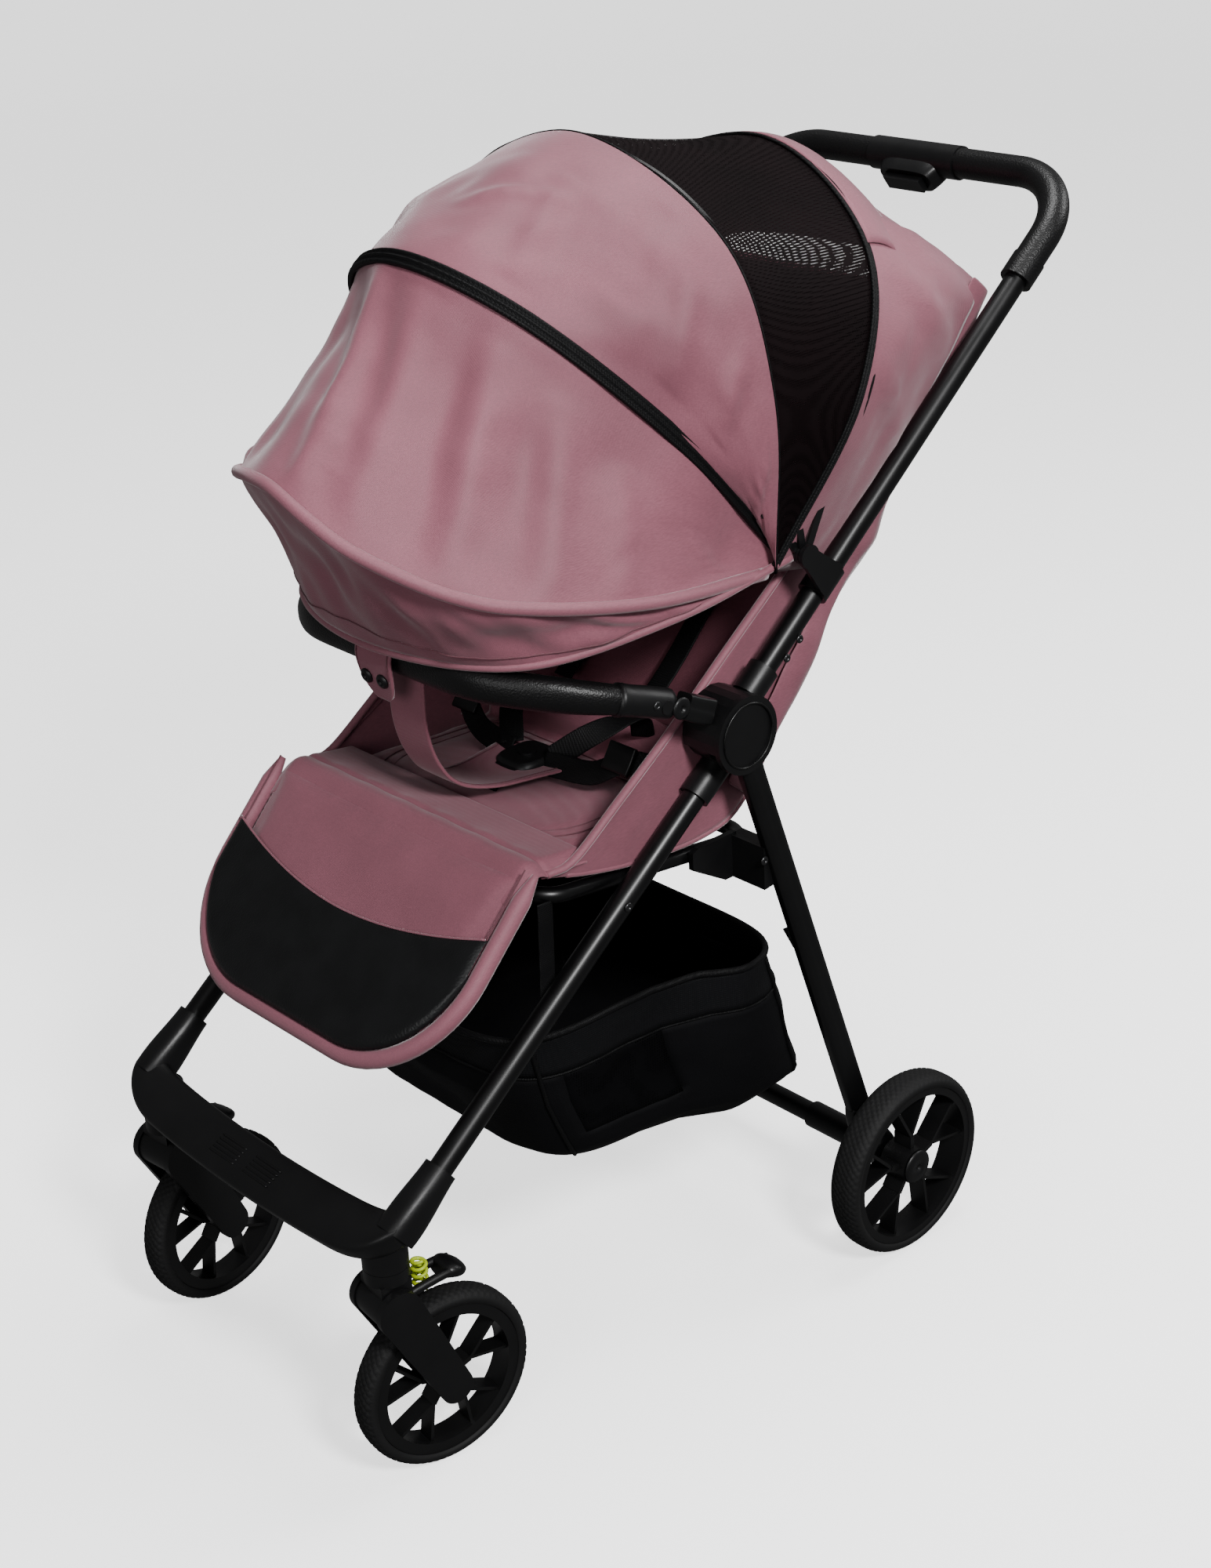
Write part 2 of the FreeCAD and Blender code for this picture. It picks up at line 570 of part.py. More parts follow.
def brake_pedal():
    """Foot bar on the axle's right-hand half that presses the wheel locks."""
    hook = pin_x(-205.0, -165.0, *PEDAL_PIVOT, 6.0)
    pad = loft([oval(at(-185.0, PEDAL_PIVOT[0] + y, PEDAL_PIVOT[1] + z), at(1, 0, 0),
                     V(0, 0.3, 0.95), a, b, 4.0)
                for y, z, a, b in ((2.0, 0.0, 18.0, 5.0), (30.0, 6.0, 28.0, 5.0), (48.0, 4.0, 28.0, 4.0))])
    return fused([hook, pad])


def seat_bracket():
    """Plate on the rear leg whose front end carries the seat rail's pin."""
    tip = RAIL_PIN
    outline = [(tip[0] - 8, tip[1] + 8), (tip[0], tip[1] + 11), (30.0, 502.0), (40.0, 466.0),
               (24.0, 455.0), (14.0, 455.0), (tip[0] - 8, tip[1] - 10)]
    plate = side_plate(outline, RAIL_X + RAIL_D / 2 + 1.2, 183.4)
    arm = side_plate([(24.0, 500.0), (42.0, 500.0), (52.0, 458.0), (24.0, 455.0)], 180.0, 226.0)
    return fused([plate, arm]).cut(rear_leg_tube(0.0))


# ---- canopy ------------------------------------------------------------------------------

def bow_point(bow, x, distance):
    return at(x, *along(*CANOPY_PIVOT, bow[0], distance))


def bow_profile(bow, inset, foot):
    """Spline edge of a bow in its own plane, drawn in by an inset, from foot to foot."""
    _, reach, foot_half, low_half, top_half, top_share = bow
    half = [(foot_half - inset, BOW_FOOT), (low_half - inset, 0.45 * reach),
            (top_half - inset * 0.8, top_share * reach - inset * 0.6)]
    shape = [bow_point(bow, x, d) for x, d in half]
    shape.append(bow_point(bow, 0.0, reach - inset))
    shape.extend(bow_point(bow, -x, d) for x, d in reversed(half))
    curve = Part.BSplineCurve()
    curve.interpolate(shape)
    first, last = curve.FirstParameter, curve.LastParameter
    low, high = first, first + 0.2 * (last - first)
    start = bow_point(bow, 0.0, 0.0)
    outward = (bow_point(bow, 0.0, 1.0) - start).normalize()
    for _ in range(40):
        middle = (low + high) / 2
        if (curve.value(middle) - start).dot(outward) < foot:
            low = middle
        else:
            high = middle
    return curve.toShape(low, last - (low - first))


def bow_band(bow, outer, inner, foot):
    """Closed band between two insets of a bow's profile."""
    edge_out = bow_profile(bow, outer, foot)
    edge_in = bow_profile(bow, inner, foot)
    a0, a1 = edge_out.Vertexes[0].Point, edge_out.Vertexes[-1].Point
    b0, b1 = edge_in.Vertexes[0].Point, edge_in.Vertexes[-1].Point
    return Part.Wire([edge_out, Part.LineSegment(a1, b1).toShape(), edge_in.reversed(),
                      Part.LineSegment(b0, a0).toShape()])


def between(first, second, share):
    return tuple(a + (b - a) * share for a, b in zip(first, second))


def canopy_bow(name, arm_x):
    """Flat strip bent in a U, with an arm plate at each foot that turns on the canopy pivot."""
    bow = BOWS[name]
    angle = math.radians(bow[0])
    normal = V(0, -math.sin(angle), math.cos(angle))
    strip_solid = Part.Face(bow_band(bow, 0.0, BOW_DEEP, BOW_FOOT)).extrude(normal * BOW_THICK)
    strip_solid.translate(normal * (-BOW_THICK / 2))
    pieces = [strip_solid]
    lug = along(*CANOPY_PIVOT, bow[0], BOW_FOOT + 12)
    for side in (1, -1):
        x0, x1 = sorted((side * arm_x, side * (arm_x + ARM_THICK)))
        pieces.append(side_plate(strip(CANOPY_PIVOT, lug, 2 * LUG_R), x0, x1))
        pieces.append(pin_x(x0, x1, *CANOPY_PIVOT, 9.0))
        inner, outer = sorted((side * (bow[2] - BOW_DEEP + 1.0), side * (arm_x + ARM_THICK)))
        pieces.append(pin_x(inner, outer, *lug, LUG_R))
    return fused(pieces).cut(pin_x(-260, 260, *CANOPY_PIVOT, CANOPY_PIN_R + PIN_GAP))


def cloth_panel(first, second, foot, gap=0.4, steps=2):
    """Cloth stretched over two bows: a thin closed shell that follows both outlines."""
    spread = second[0] - first[0]
    bands = []
    for step in range(steps + 1):
        share = (gap + (abs(spread) - 2 * gap) * step / steps) / abs(spread)
        bands.append(bow_band(between(first, second, share), -CANOPY_CLOTH - CLOTH_STAND_OFF,
                              -CLOTH_STAND_OFF, foot))
    return loft(bands, True)


def canopy_clamp():
    """Clamp on the handle tube with the post that holds the canopy's pivot pin."""
    start = along(0, HUB_Z, HANDLE_SLOPE, 152.0, 4.7)
    end = along(0, HUB_Z, HANDLE_SLOPE, 186.0, 4.7)
    sleeve = rod(at(HANDLE_X, *start), at(HANDLE_X, *end), TUBE_D / 2 + 3.5)
    post = side_plate([(CANOPY_PIVOT[0] - 11, CANOPY_PIVOT[1] - 2), (CANOPY_PIVOT[0], CANOPY_PIVOT[1] + 11),
                       along(*end, HANDLE_SLOPE, 0.0, 8.0), along(*start, HANDLE_SLOPE, 0.0, 8.0)],
                      222.0, 226.5)
    boss = pin_x(222.0, 226.5, *CANOPY_PIVOT, 11.5)
    web = side_plate([along(*start, HANDLE_SLOPE, 0.0, 3.0), along(*end, HANDLE_SLOPE, 0.0, 3.0),
                      along(*end, HANDLE_SLOPE, 0.0, 12.5), along(*start, HANDLE_SLOPE, 0.0, 12.5)],
                     214.0, 226.5)
    pin = pin_x(206.0, 224.0, *CANOPY_PIVOT, CANOPY_PIN_R)
    body = fused([sleeve, post, boss, web, pin])
    return body.cut(rod(at(HANDLE_X, *HANDLE_START), at(HANDLE_X, *HANDLE_AXIS), TUBE_D / 2))


# ---- seat --------------------------------------------------------------------------------

def slab(y0, z0, angle, length, thick, half, corner_r, lift=0.0):
    """Flat pad from a side-view start point: rounded far corners, thickness on the upper side."""
    base = Part.makeBox(2 * half, length, thick, at(-half, 0, 0))
    if corner_r > 0:
        far = [edge for edge in base.Edges
               if all(abs(v.Y - length) < 0.01 for v in edge.Vertexes)
               and abs(edge.Vertexes[0].Z - edge.Vertexes[-1].Z) > 1]
        base = base.makeFillet(corner_r, far)
    base.translate(at(0, 0, lift))
    base.rotate(at(0, 0, 0), at(1, 0, 0), angle)
    base.translate(at(0, y0, z0))
    return base


def seat_pad():
    front = CREASE_Y + 11.0
    length = SEAT_REAR_Y - front
    return slab(front, RAIL_FRONT[1] + RAIL_D / 2 + 1.0, -3.0, length, SEAT_THICK, SEAT_HALF - 8, 0.0)


def backrest_board():
    return slab(*BACK_PIVOT, BACK_ANGLE, BACK_LENGTH, 4.0, SEAT_HALF - 14, 40.0, -4.4)


def backrest_pad():
    return slab(*BACK_PIVOT, BACK_ANGLE, BACK_LENGTH, BACK_THICK, SEAT_HALF - 10, 40.0)


def back_skirt():
    """Cloth cover hanging behind the backrest, a thin shell bulging rearward."""
    inner = []
    outer = []
    for share, bulge in ((0.02, 14.0), (0.25, 26.0), (0.55, 30.0), (0.8, 24.0), (1.0, 10.0)):
        inner.append(along(*BACK_PIVOT, BACK_ANGLE, BACK_LENGTH * share, -bulge))
        outer.append(along(*BACK_PIVOT, BACK_ANGLE, BACK_LENGTH * share, -bulge - 1.5))
    return side_plate(outer + inner[::-1], -SEAT_HALF + 2, SEAT_HALF - 2)


def seat_side():
    """Upright side wall of the seat, from the seat rail up to the canopy's pivot."""
    outline = [(-177.0, 545.0), (-177.0, 549.0), (-54.0, 630.0), (91.0, 738.0), (110.0, 700.0),
               (104.0, 640.0), (60.0, 560.0), (22.0, 512.0), (-60.0, 512.0), (-140.0, 528.0)]
    return side_plate(outline, SEAT_HALF - 4, SEAT_HALF)


def legrest_pad():
    """Padded leg rest hanging forward from the seat's front edge."""
    return slab(CREASE_Y - 7, CREASE_Z + 6, 180 + LEGREST_ANGLE, LEGREST_LENGTH, LEGREST_THICK,
                LEGREST_HALF, LEGREST_CORNER_R - 20)


def seat_frame():
    """Closed ring of bent tube under the seat, its rear loop behind the backrest's foot."""
    loops = []
    points = [at(0.5, RAIL_FRONT[0], RAIL_FRONT[1]), at(RAIL_X, RAIL_FRONT[0], RAIL_FRONT[1]),
              at(RAIL_X, *RAIL_PIN), at(RAIL_X, 62.0, 480.0), at(0.5, 62.0, 480.0)]
    for side in (1, -1):
        route = [at(side * p.x, p.y, p.z) for p in points]
        loops.append(bent_bar(route, 28.0, RAIL_D / 2))
    joint = [pin_x(-2, 2, p.y, p.z, RAIL_D / 2) for p in (points[0], points[-1])]
    return fused(loops + joint)


def crotch_strap():
    """Wide strap from the seat pad up to the bumper bar, wrapped over it."""
    lower = [(-128.0, 549.0), (-180.0, 580.0), (-215.0, 640.0), (-227.0, 690.0), (-227.0, 705.0)]
    outer = [(y - 2.2, z + 0.4) for y, z in lower]
    return side_plate(lower + outer[::-1], -24.0, 24.0)


def harness_straps():
    """Shoulder webbing lying on the backrest."""
    pieces = []
    for side in (1, -1):
        strap = slab(*along(*BACK_PIVOT, BACK_ANGLE, 40.0, BACK_THICK), BACK_ANGLE, 330.0, 2.0, 12.5, 0.0)
        pieces.append(placed(strap, side * 60.0, 0, 0))
    return Part.makeCompound(pieces)


def harness_buckle():
    body = loft([oval(at(0, -72.0, z), at(1, 0, 0), at(0, 1, 0), a, b, 3.5)
                 for z, a, b in ((552.5, 24.0, 26.0), (560.0, 26.0, 28.0), (566.0, 22.0, 24.0))])
    return body.cut(Part.makeCylinder(9.0 + 0.3, 8.0, at(0, -72.0, 560.5), at(0, 0, 1)))


def buckle_button():
    return Part.makeCylinder(9.0, 5.0, at(0, -72.0, 562.8), at(0, 0, 1))


def bumper_bar():
    """Padded bar across the front, one U from joint to joint."""
    half = [(BAR_X, *BAR_JOINT), (BAR_X, *BAR_ELBOW), BAR_SHOULDER, (BAR_CORNER_X, *BAR_FRONT)]
    route = [at(*point) for point in half] + [at(-x, y, z) for x, y, z in reversed(half)]
    bar = bent_bar(route, 52.0, BAR_D / 2)
    for side in (1, -1):
        pocket = sorted((side * (BUTTON_X[0] - BUTTON_TRAVEL - BODY_GAP), side * (BUTTON_X[1] + 5)))
        bar = bar.cut(pin_x(*pocket, *BUTTON_AT, BUTTON_R + 0.3))
    return bar


BUTTON_AT = along(*BAR_JOINT, 160.0, 18.0)


def bumper_button():
    return pin_x(*BUTTON_X, *BUTTON_AT, BUTTON_R)


def basket_half(y, front, rear):
    """Half-width at a place along the basket: narrow between the front legs, wide behind them."""
    share = min(1.0, max(0.0, (y - BASKET_NECK[0]) / (BASKET_NECK[1] - BASKET_NECK[0])))
    return front + (rear - front) * share * share * (3 - 2 * share)


def basket_wire(shrink, front, rear, y0, y1, z0, z1):
    """Rounded outline of one level of the basket."""
    points = []
    for step in range(BASKET_POINTS):
        a = 2 * math.pi * step / BASKET_POINTS
        u = math.copysign(abs(math.cos(a)) ** 0.4, math.cos(a))
        share = (1 + math.copysign(abs(math.sin(a)) ** 0.4, math.sin(a))) / 2
        y = y0 + shrink + (y1 - y0 - 2 * shrink) * share
        points.append(at(u * (basket_half(y, front, rear) - shrink), y, z0 + (z1 - z0) * share))
    curve = Part.BSplineCurve()
    curve.interpolate(points, PeriodicFlag=True)
    return Part.Wire(curve.toShape())


def basket():
    """Open bag with sloping sides: closed cloth shell, open at the top."""
    def bag(shrink, drop, lift):
        levels = [(*level[:4], level[4] + rise, level[5] + rise)
                  for level, rise in zip(BASKET_LEVELS, (drop, 0.0, 0.0, lift))]
        return loft([basket_wire(shrink, *level) for level in levels])
    return bag(0.0, 0.0, 0.0).cut(bag(BASKET_CLOTH, BASKET_CLOTH, 1.0))


def main():
    os.makedirs("parts", exist_ok=True)
    save_pair("handle_tube", handle_tube())
    save_pair("grip", grip())
    save("handle_pod", handle_pod())
    save("fold_trigger", fold_trigger())
    save_pair("hub_housing", hub_housing())
    cap = hub_cap()
    save("hub_caps", Part.makeCompound([cap, mirror(cap)]))
    pin = hub_pin()
    save("hub_pins", Part.makeCompound([pin, mirror(pin)]))
    collar = leg_collar()
    save("leg_collars", Part.makeCompound([collar, mirror(collar)]))
    save_pair("front_leg", front_leg())
    save("footrest", footrest())
    front_tyre = tyre(FRONT_WHEEL_D, FRONT_TYRE_W)
    front_rim = rim(FRONT_WHEEL_D, FRONT_TYRE_W, FRONT_RIM_OPENING_R, 2 * FORK_INNER - 1.0, 14.0,
                    AXLE_R + PIN_GAP)
    save_pair("front_tyre", toed(placed(front_tyre, CASTER_X, FRONT_AXLE_Y, FRONT_AXLE_Z)))
    save_pair("front_rim", toed(placed(front_rim, CASTER_X, FRONT_AXLE_Y, FRONT_AXLE_Z)))
    save_pair("caster_swivel", toed(caster_swivel()))
    save_pair("fork", toed(fork()))
    save_pair("caster_spring", toed(caster_spring()))
    save_pair("swivel_lock", toed(swivel_lock()))
    rear_tyre = tyre(REAR_WHEEL_D, REAR_TYRE_W)
    rear_rim = rim(REAR_WHEEL_D, REAR_TYRE_W, REAR_RIM_OPENING_R, 32.0, 19.0, AXLE_R + PIN_GAP)
    save_pair("rear_tyre", placed(rear_tyre, REAR_WHEEL_X, REAR_AXLE_Y, REAR_AXLE_Z))
    save_pair("rear_rim", placed(rear_rim, REAR_WHEEL_X, REAR_AXLE_Y, REAR_AXLE_Z))
    save_pair("rear_leg", rear_leg())
    save("rear_axle", rear_axle())
    save("brake_pedal", brake_pedal())
    bracket = seat_bracket()
    save("seat_brackets", Part.makeCompound([bracket, mirror(bracket)]))
    for name in ARM_X:
        save("canopy_bow_" + name, canopy_bow(name, ARM_X[name]))
    clamp = canopy_clamp()
    save("canopy_clamps", Part.makeCompound([clamp, mirror(clamp)]))
    save("canopy_rear_shell", cloth_panel(BOWS["back"], BOWS["rear"], CLOTH_FOOT + 20))
    save("canopy_mesh", cloth_panel(BOWS["rear"], BOWS["mid"], CLOTH_FOOT))
    save("canopy_panel_mid", cloth_panel(BOWS["mid"], BOWS["zip"], CLOTH_FOOT))
    save("canopy_panel_visor", cloth_panel(BOWS["zip"], BOWS["visor"], CLOTH_FOOT))
    save("canopy_flap", cloth_panel(BOWS["visor"], BOWS["flap"], CLOTH_FOOT))
    save("seat_frame", seat_frame())
    save("seat_pad", seat_pad())
    side = seat_side()
    save("seat_sides", Part.makeCompound([side, mirror(side)]))
    save("backrest_board", backrest_board())
    save("backrest_pad", backrest_pad())
    save("back_skirt", back_skirt())
    save("legrest_pad", legrest_pad())
    save("crotch_strap", crotch_strap())
    save("harness_straps", harness_straps())
    save("harness_buckle", harness_buckle())
    save("buckle_button", buckle_button())
    save("bumper_bar", bumper_bar())
    save_pair("bumper_button", bumper_button())
    save("basket", basket())


main()
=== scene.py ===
"""Looks of the folding baby stroller: cloth, padding, webbing, tread and finishes on the fixed CAD frame."""
import json
import math

import bmesh
import bpy
import numpy as np
from mathutils import Matrix, Vector, noise


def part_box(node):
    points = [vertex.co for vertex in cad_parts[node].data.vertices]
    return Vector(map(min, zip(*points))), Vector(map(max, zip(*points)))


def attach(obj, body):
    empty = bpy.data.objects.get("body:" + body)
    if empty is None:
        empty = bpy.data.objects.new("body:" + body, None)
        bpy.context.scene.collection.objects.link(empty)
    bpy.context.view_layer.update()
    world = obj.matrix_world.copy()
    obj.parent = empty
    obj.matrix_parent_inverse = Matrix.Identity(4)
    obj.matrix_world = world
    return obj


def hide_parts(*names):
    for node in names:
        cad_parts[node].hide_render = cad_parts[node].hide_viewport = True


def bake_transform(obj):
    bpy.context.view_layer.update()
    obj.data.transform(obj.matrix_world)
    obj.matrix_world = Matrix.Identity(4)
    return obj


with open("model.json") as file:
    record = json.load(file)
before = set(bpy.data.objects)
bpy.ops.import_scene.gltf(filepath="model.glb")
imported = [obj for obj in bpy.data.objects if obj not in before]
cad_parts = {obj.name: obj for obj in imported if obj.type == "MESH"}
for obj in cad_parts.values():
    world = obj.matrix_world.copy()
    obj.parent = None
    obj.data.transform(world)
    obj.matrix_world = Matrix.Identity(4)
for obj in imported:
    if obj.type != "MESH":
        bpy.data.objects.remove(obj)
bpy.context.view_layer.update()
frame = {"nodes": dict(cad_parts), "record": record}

HUB_TO_MIDDLE = 0.02968       # side-view outlines have y from the hub axle, as in the CAD
SIDES = ((1, "left"), (-1, "right"))


def P(x, y, z):
    return (x, y - HUB_TO_MIDDLE, z)


# ---- camera ------------------------------------------------------------------------------

def make_camera():
    azimuth, elevation, roll = math.radians(48.76), math.radians(24.18), math.radians(-3.22)
    back = Vector((math.sin(azimuth) * math.cos(elevation), -math.cos(azimuth) * math.cos(elevation),
                   math.sin(elevation)))
    right = Vector((math.cos(azimuth), math.sin(azimuth), 0.0))
    up = back.cross(right)
    x_axis = right * math.cos(roll) + up * math.sin(roll)
    y_axis = -right * math.sin(roll) + up * math.cos(roll)
    data = bpy.data.cameras.new("Camera")
    data.lens, data.sensor_width = 55.37, 36.0
    data.shift_x, data.shift_y = 0.00675, -0.0315
    camera = bpy.data.objects.new("Camera", data)
    camera.matrix_world = Matrix((x_axis, y_axis, back)).transposed().to_4x4()
    camera.location = P(1.66038, -1.43838, 1.54537)
    bpy.context.scene.collection.objects.link(camera)
    bpy.context.scene.camera = camera


make_camera()


# ---- materials ---------------------------------------------------------------------------

class Finish:
    """A Principled material with short calls for the nodes that feed it."""

    def __init__(self, name, rough, **sockets):
        self.material = bpy.data.materials.new(name)
        self.material.use_nodes = True
        self.tree = self.material.node_tree
        self.shader = self.tree.nodes["Principled BSDF"]
        self.set("Roughness", rough)
        for socket, value in sockets.items():
            self.set(socket.replace("_", " "), value)
        self.place = self.tree.nodes.new("ShaderNodeTexCoord").outputs["Object"]

    def set(self, socket, value):
        self.shader.inputs[socket].default_value = value

    def link(self, output, socket):
        self.tree.links.new(output, self.shader.inputs[socket])

    def node(self, kind, inputs, **settings):
        made = self.tree.nodes.new(kind)
        for key, value in settings.items():
            setattr(made, key, value)
        for key, value in inputs.items():
            if isinstance(value, bpy.types.NodeSocket):
                self.tree.links.new(value, made.inputs[key])
            else:
                made.inputs[key].default_value = value
        return made

    def noise(self, scale, detail=2.0, stretch=None):
        place = self.place
        if stretch:
            place = self.node("ShaderNodeMapping", {"Vector": place, "Scale": stretch}).outputs[0]
        return self.node("ShaderNodeTexNoise", {"Vector": place, "Scale": scale, "Detail": detail}).outputs["Fac"]

    def wave(self, scale, direction, vector=None):
        made = self.node("ShaderNodeTexWave", {"Vector": vector or self.place, "Scale": scale,
                                              "Distortion": 0.6, "Detail": 1.0, "Detail Scale": 2.0})
        made.wave_type, made.bands_direction, made.wave_profile = "BANDS", direction, "SIN"
        return made.outputs["Fac"]

    def math(self, operation, a, b=0.0):
        made = self.tree.nodes.new("ShaderNodeMath")
        made.operation = operation
        for slot, value in enumerate((a, b)):
            if isinstance(value, bpy.types.NodeSocket):
                self.tree.links.new(value, made.inputs[slot])
            else:
                made.inputs[slot].default_value = value
        return made.outputs[0]

    def ramp(self, factor, stops):
        made = self.node("ShaderNodeValToRGB", {"Fac": factor})
        points = made.color_ramp.elements
        while len(points) < len(stops):
            points.new(0.5)
        for point, (where, colour) in zip(points, stops):
            point.position, point.color = where, (*colour, 1.0)
        return made.outputs["Color"]

    def bump(self, height, distance, strength=1.0, under=None):
        inputs = {"Height": height, "Distance": distance, "Strength": strength}
        if under is not None:
            inputs["Normal"] = under
        return self.node("ShaderNodeBump", inputs).outputs["Normal"]

    def varied(self, colour, scale=9.0, spread=0.12, detail=4.0):
        dark = tuple(c * (1 - spread) for c in colour)
        light = tuple(min(1.0, c * (1 + spread)) for c in colour)
        tone = self.ramp(self.noise(scale, detail), ((0.35, dark), (0.65, light)))
        self.link(tone, "Base Color")
        return tone


def woven(name, colour, thread, rough, sheen, spread=0.1, relief=0.00012, gloss=0.3):
    """Plain-weave cloth: crossing threads, fine slubs and a soft sheen."""
    made = Finish(name, rough, Sheen_Weight=sheen, Sheen_Roughness=0.35, Specular_IOR_Level=gloss)
    tone = made.varied(colour, 7.0, spread)
    lattice = 6.2832 / 20.0 / thread
    weave = made.math("MULTIPLY", made.wave(lattice, "X"), made.wave(lattice * 0.97, "Z"))
    weave = made.math("ADD", weave, made.wave(lattice, "Y"))
    slub = made.noise(900.0, 1.0, (1.0, 0.2, 1.6))
    shade = made.ramp(slub, ((0.3, (0.86, 0.86, 0.86)), (0.7, (1.1, 1.1, 1.1))))
    mixed = made.node("ShaderNodeMix", {6: tone, 7: shade, "Factor": 0.8}, data_type="RGBA",
                      blend_type="MULTIPLY")
    made.link(mixed.outputs[2], "Base Color")
    soft = made.bump(made.noise(45.0, 3.0), 0.0006, 0.35)
    made.link(made.bump(weave, relief, 0.6, soft), "Normal")
    rough_tone = made.math("MULTIPLY_ADD", slub, 0.16)
    rough_tone.node.inputs[2].default_value = rough - 0.08
    made.link(rough_tone, "Roughness")
    return made.material


def moulded(name, colour, rough, grain, relief, coat=0.0, spread=0.15):
    """Moulded or coated surface with a fine orange-peel grain and slightly worn gloss."""
    made = Finish(name, rough, Coat_Weight=coat, Coat_Roughness=0.2, Specular_IOR_Level=0.32)
    made.varied(colour, 18.0, spread)
    made.link(made.bump(made.noise(grain, 3.0), relief, 0.5), "Normal")
    worn = made.math("MULTIPLY_ADD", made.noise(25.0, 4.0), 0.22)
    worn.node.inputs[2].default_value = rough - 0.11
    made.link(worn, "Roughness")
    return made.material


def leather(name, colour, pebble):
    made = Finish(name, 0.40, Specular_IOR_Level=0.3)
    made.varied(colour, 30.0, 0.2)
    cells = made.node("ShaderNodeTexVoronoi", {"Vector": made.place, "Scale": 1.0 / pebble},
                      feature="SMOOTH_F1").outputs["Distance"]
    fine = made.bump(made.noise(1.4 / pebble, 3.0), 0.00015, 0.5)
    made.link(made.bump(cells, 0.0004, 0.75, fine), "Normal")
    return made.material


def netting(name, colour, hole, open_share):
    """Open net: round holes see through to what is behind."""
    made = Finish(name, 0.7, Specular_IOR_Level=0.06)
    made.varied(colour, 12.0, 0.2)
    cells = made.node("ShaderNodeTexVoronoi", {"Vector": made.place, "Scale": 1.0 / hole,
                                              "Randomness": 0.15}, feature="F1").outputs["Distance"]
    solid = made.math("GREATER_THAN", cells, open_share)
    made.link(solid, "Alpha")
    return made.material


def plain(name, colour, rough, metallic=0.0, grain=400.0):
    made = Finish(name, rough, Metallic=metallic)
    made.varied(colour, 30.0, 0.08)
    made.link(made.bump(made.noise(grain, 2.0), 0.00008, 0.4), "Normal")
    return made.material


PINK = (0.215, 0.078, 0.104)
MATERIALS = {
    "pink_fabric": woven("pink_cloth", PINK, 0.0009, 0.55, 0.35),
    "pink_trim": woven("pink_binding", (0.228, 0.085, 0.112), 0.0007, 0.5, 0.4, 0.06),
    "pink_thread": woven("pink_thread", (0.11, 0.034, 0.047), 0.0005, 0.6, 0.2),
    # Darker copy of the pink cloth for the back cushion: painted shade of the seat's inside under the canopy.
    "pink_painted_shade": woven("pink_painted_shade", (0.135, 0.042, 0.058), 0.0009, 0.65, 0.2),
    "black_mesh": netting("black_net", (0.0035, 0.0016, 0.0020), 0.0021, 0.33),
    "side_mesh": netting("basket_net", (0.0018, 0.0018, 0.0022), 0.0030, 0.30),
    "black_fabric": woven("black_cloth", (0.0018, 0.0018, 0.0024), 0.0010, 0.75, 0.0, 0.2, 0.00012, 0.12),
    "black_band": woven("black_band", (0.0030, 0.0031, 0.0038), 0.0022, 0.66, 0.0, 0.2, 0.0004, 0.16),
    "black_webbing": woven("webbing", (0.0020, 0.0020, 0.0023), 0.0018, 0.62, 0.0, 0.15, 0.0004, 0.16),
    "tyre": moulded("tyre_rubber", (0.0024, 0.0024, 0.0026), 0.75, 700.0, 0.0002),
    "painted_tube": moulded("tube_paint", (0.0014, 0.0014, 0.0016), 0.36, 1600.0, 0.00004, 0.04),
    "leatherette": leather("leatherette", (0.0022, 0.0022, 0.0024), 0.0016),
    "pad_leather": leather("pad_leatherette", (0.0042, 0.0044, 0.0048), 0.0021),
    "steel": plain("steel", (0.55, 0.55, 0.56), 0.32, 1.0),
    "dark_steel": plain("dark_steel", (0.05, 0.05, 0.052), 0.3, 0.9),
    "lime_paint": plain("lime_paint", (0.40, 0.52, 0.01), 0.4),
    "rim_plastic": moulded("rim_plastic", (0.0030, 0.0030, 0.0032), 0.42, 1300.0, 0.00012),
    "black_plastic": moulded("black_plastic", (0.0030, 0.0030, 0.0033), 0.40, 1500.0, 0.00014),
}
SLOT_OF = {"pink_trim": "pink_fabric", "pink_thread": "pink_fabric", "pink_painted_shade": "pink_fabric",
           "side_mesh": "black_mesh", "black_band": "black_fabric", "pad_leather": "leatherette",
           "dark_steel": "steel"}

for part in frame["record"]["subparts"]:
    node = frame["nodes"][part["node"]]
    node.data.materials.clear()
    node.data.materials.append(MATERIALS[part["material_slot"]])


# ---- mesh helpers ------------------------------------------------------------------------

def piece(name, verts, faces, finish, body=None, smooth=True):
    mesh = bpy.data.meshes.new(name)
    mesh.from_pydata([tuple(map(float, v)) for v in verts], [], [tuple(map(int, f)) for f in faces])
    mesh.materials.append(MATERIALS[finish])
    made = bpy.data.objects.new(name, mesh)
    bpy.context.scene.collection.objects.link(made)
    graph = bmesh.new()
    graph.from_mesh(mesh)
    bmesh.ops.remove_doubles(graph, verts=graph.verts, dist=1e-6)
    bmesh.ops.recalc_face_normals(graph, faces=graph.faces)
    graph.to_mesh(mesh)
    graph.free()
    if smooth:
        mesh.polygons.foreach_set("use_smooth", [True] * len(mesh.polygons))
    SLOT_OF.get(finish, finish)
    if body:
        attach(made, body)
    return made


def grid_faces(rows, columns, closed=False):
    faces = []
    for r in range(rows - 1):
        for c in range(columns if closed else columns - 1):
            d = (c + 1) % columns
            faces.append((r * columns + c, r * columns + d, (r + 1) * columns + d, (r + 1) * columns + c))
    return faces


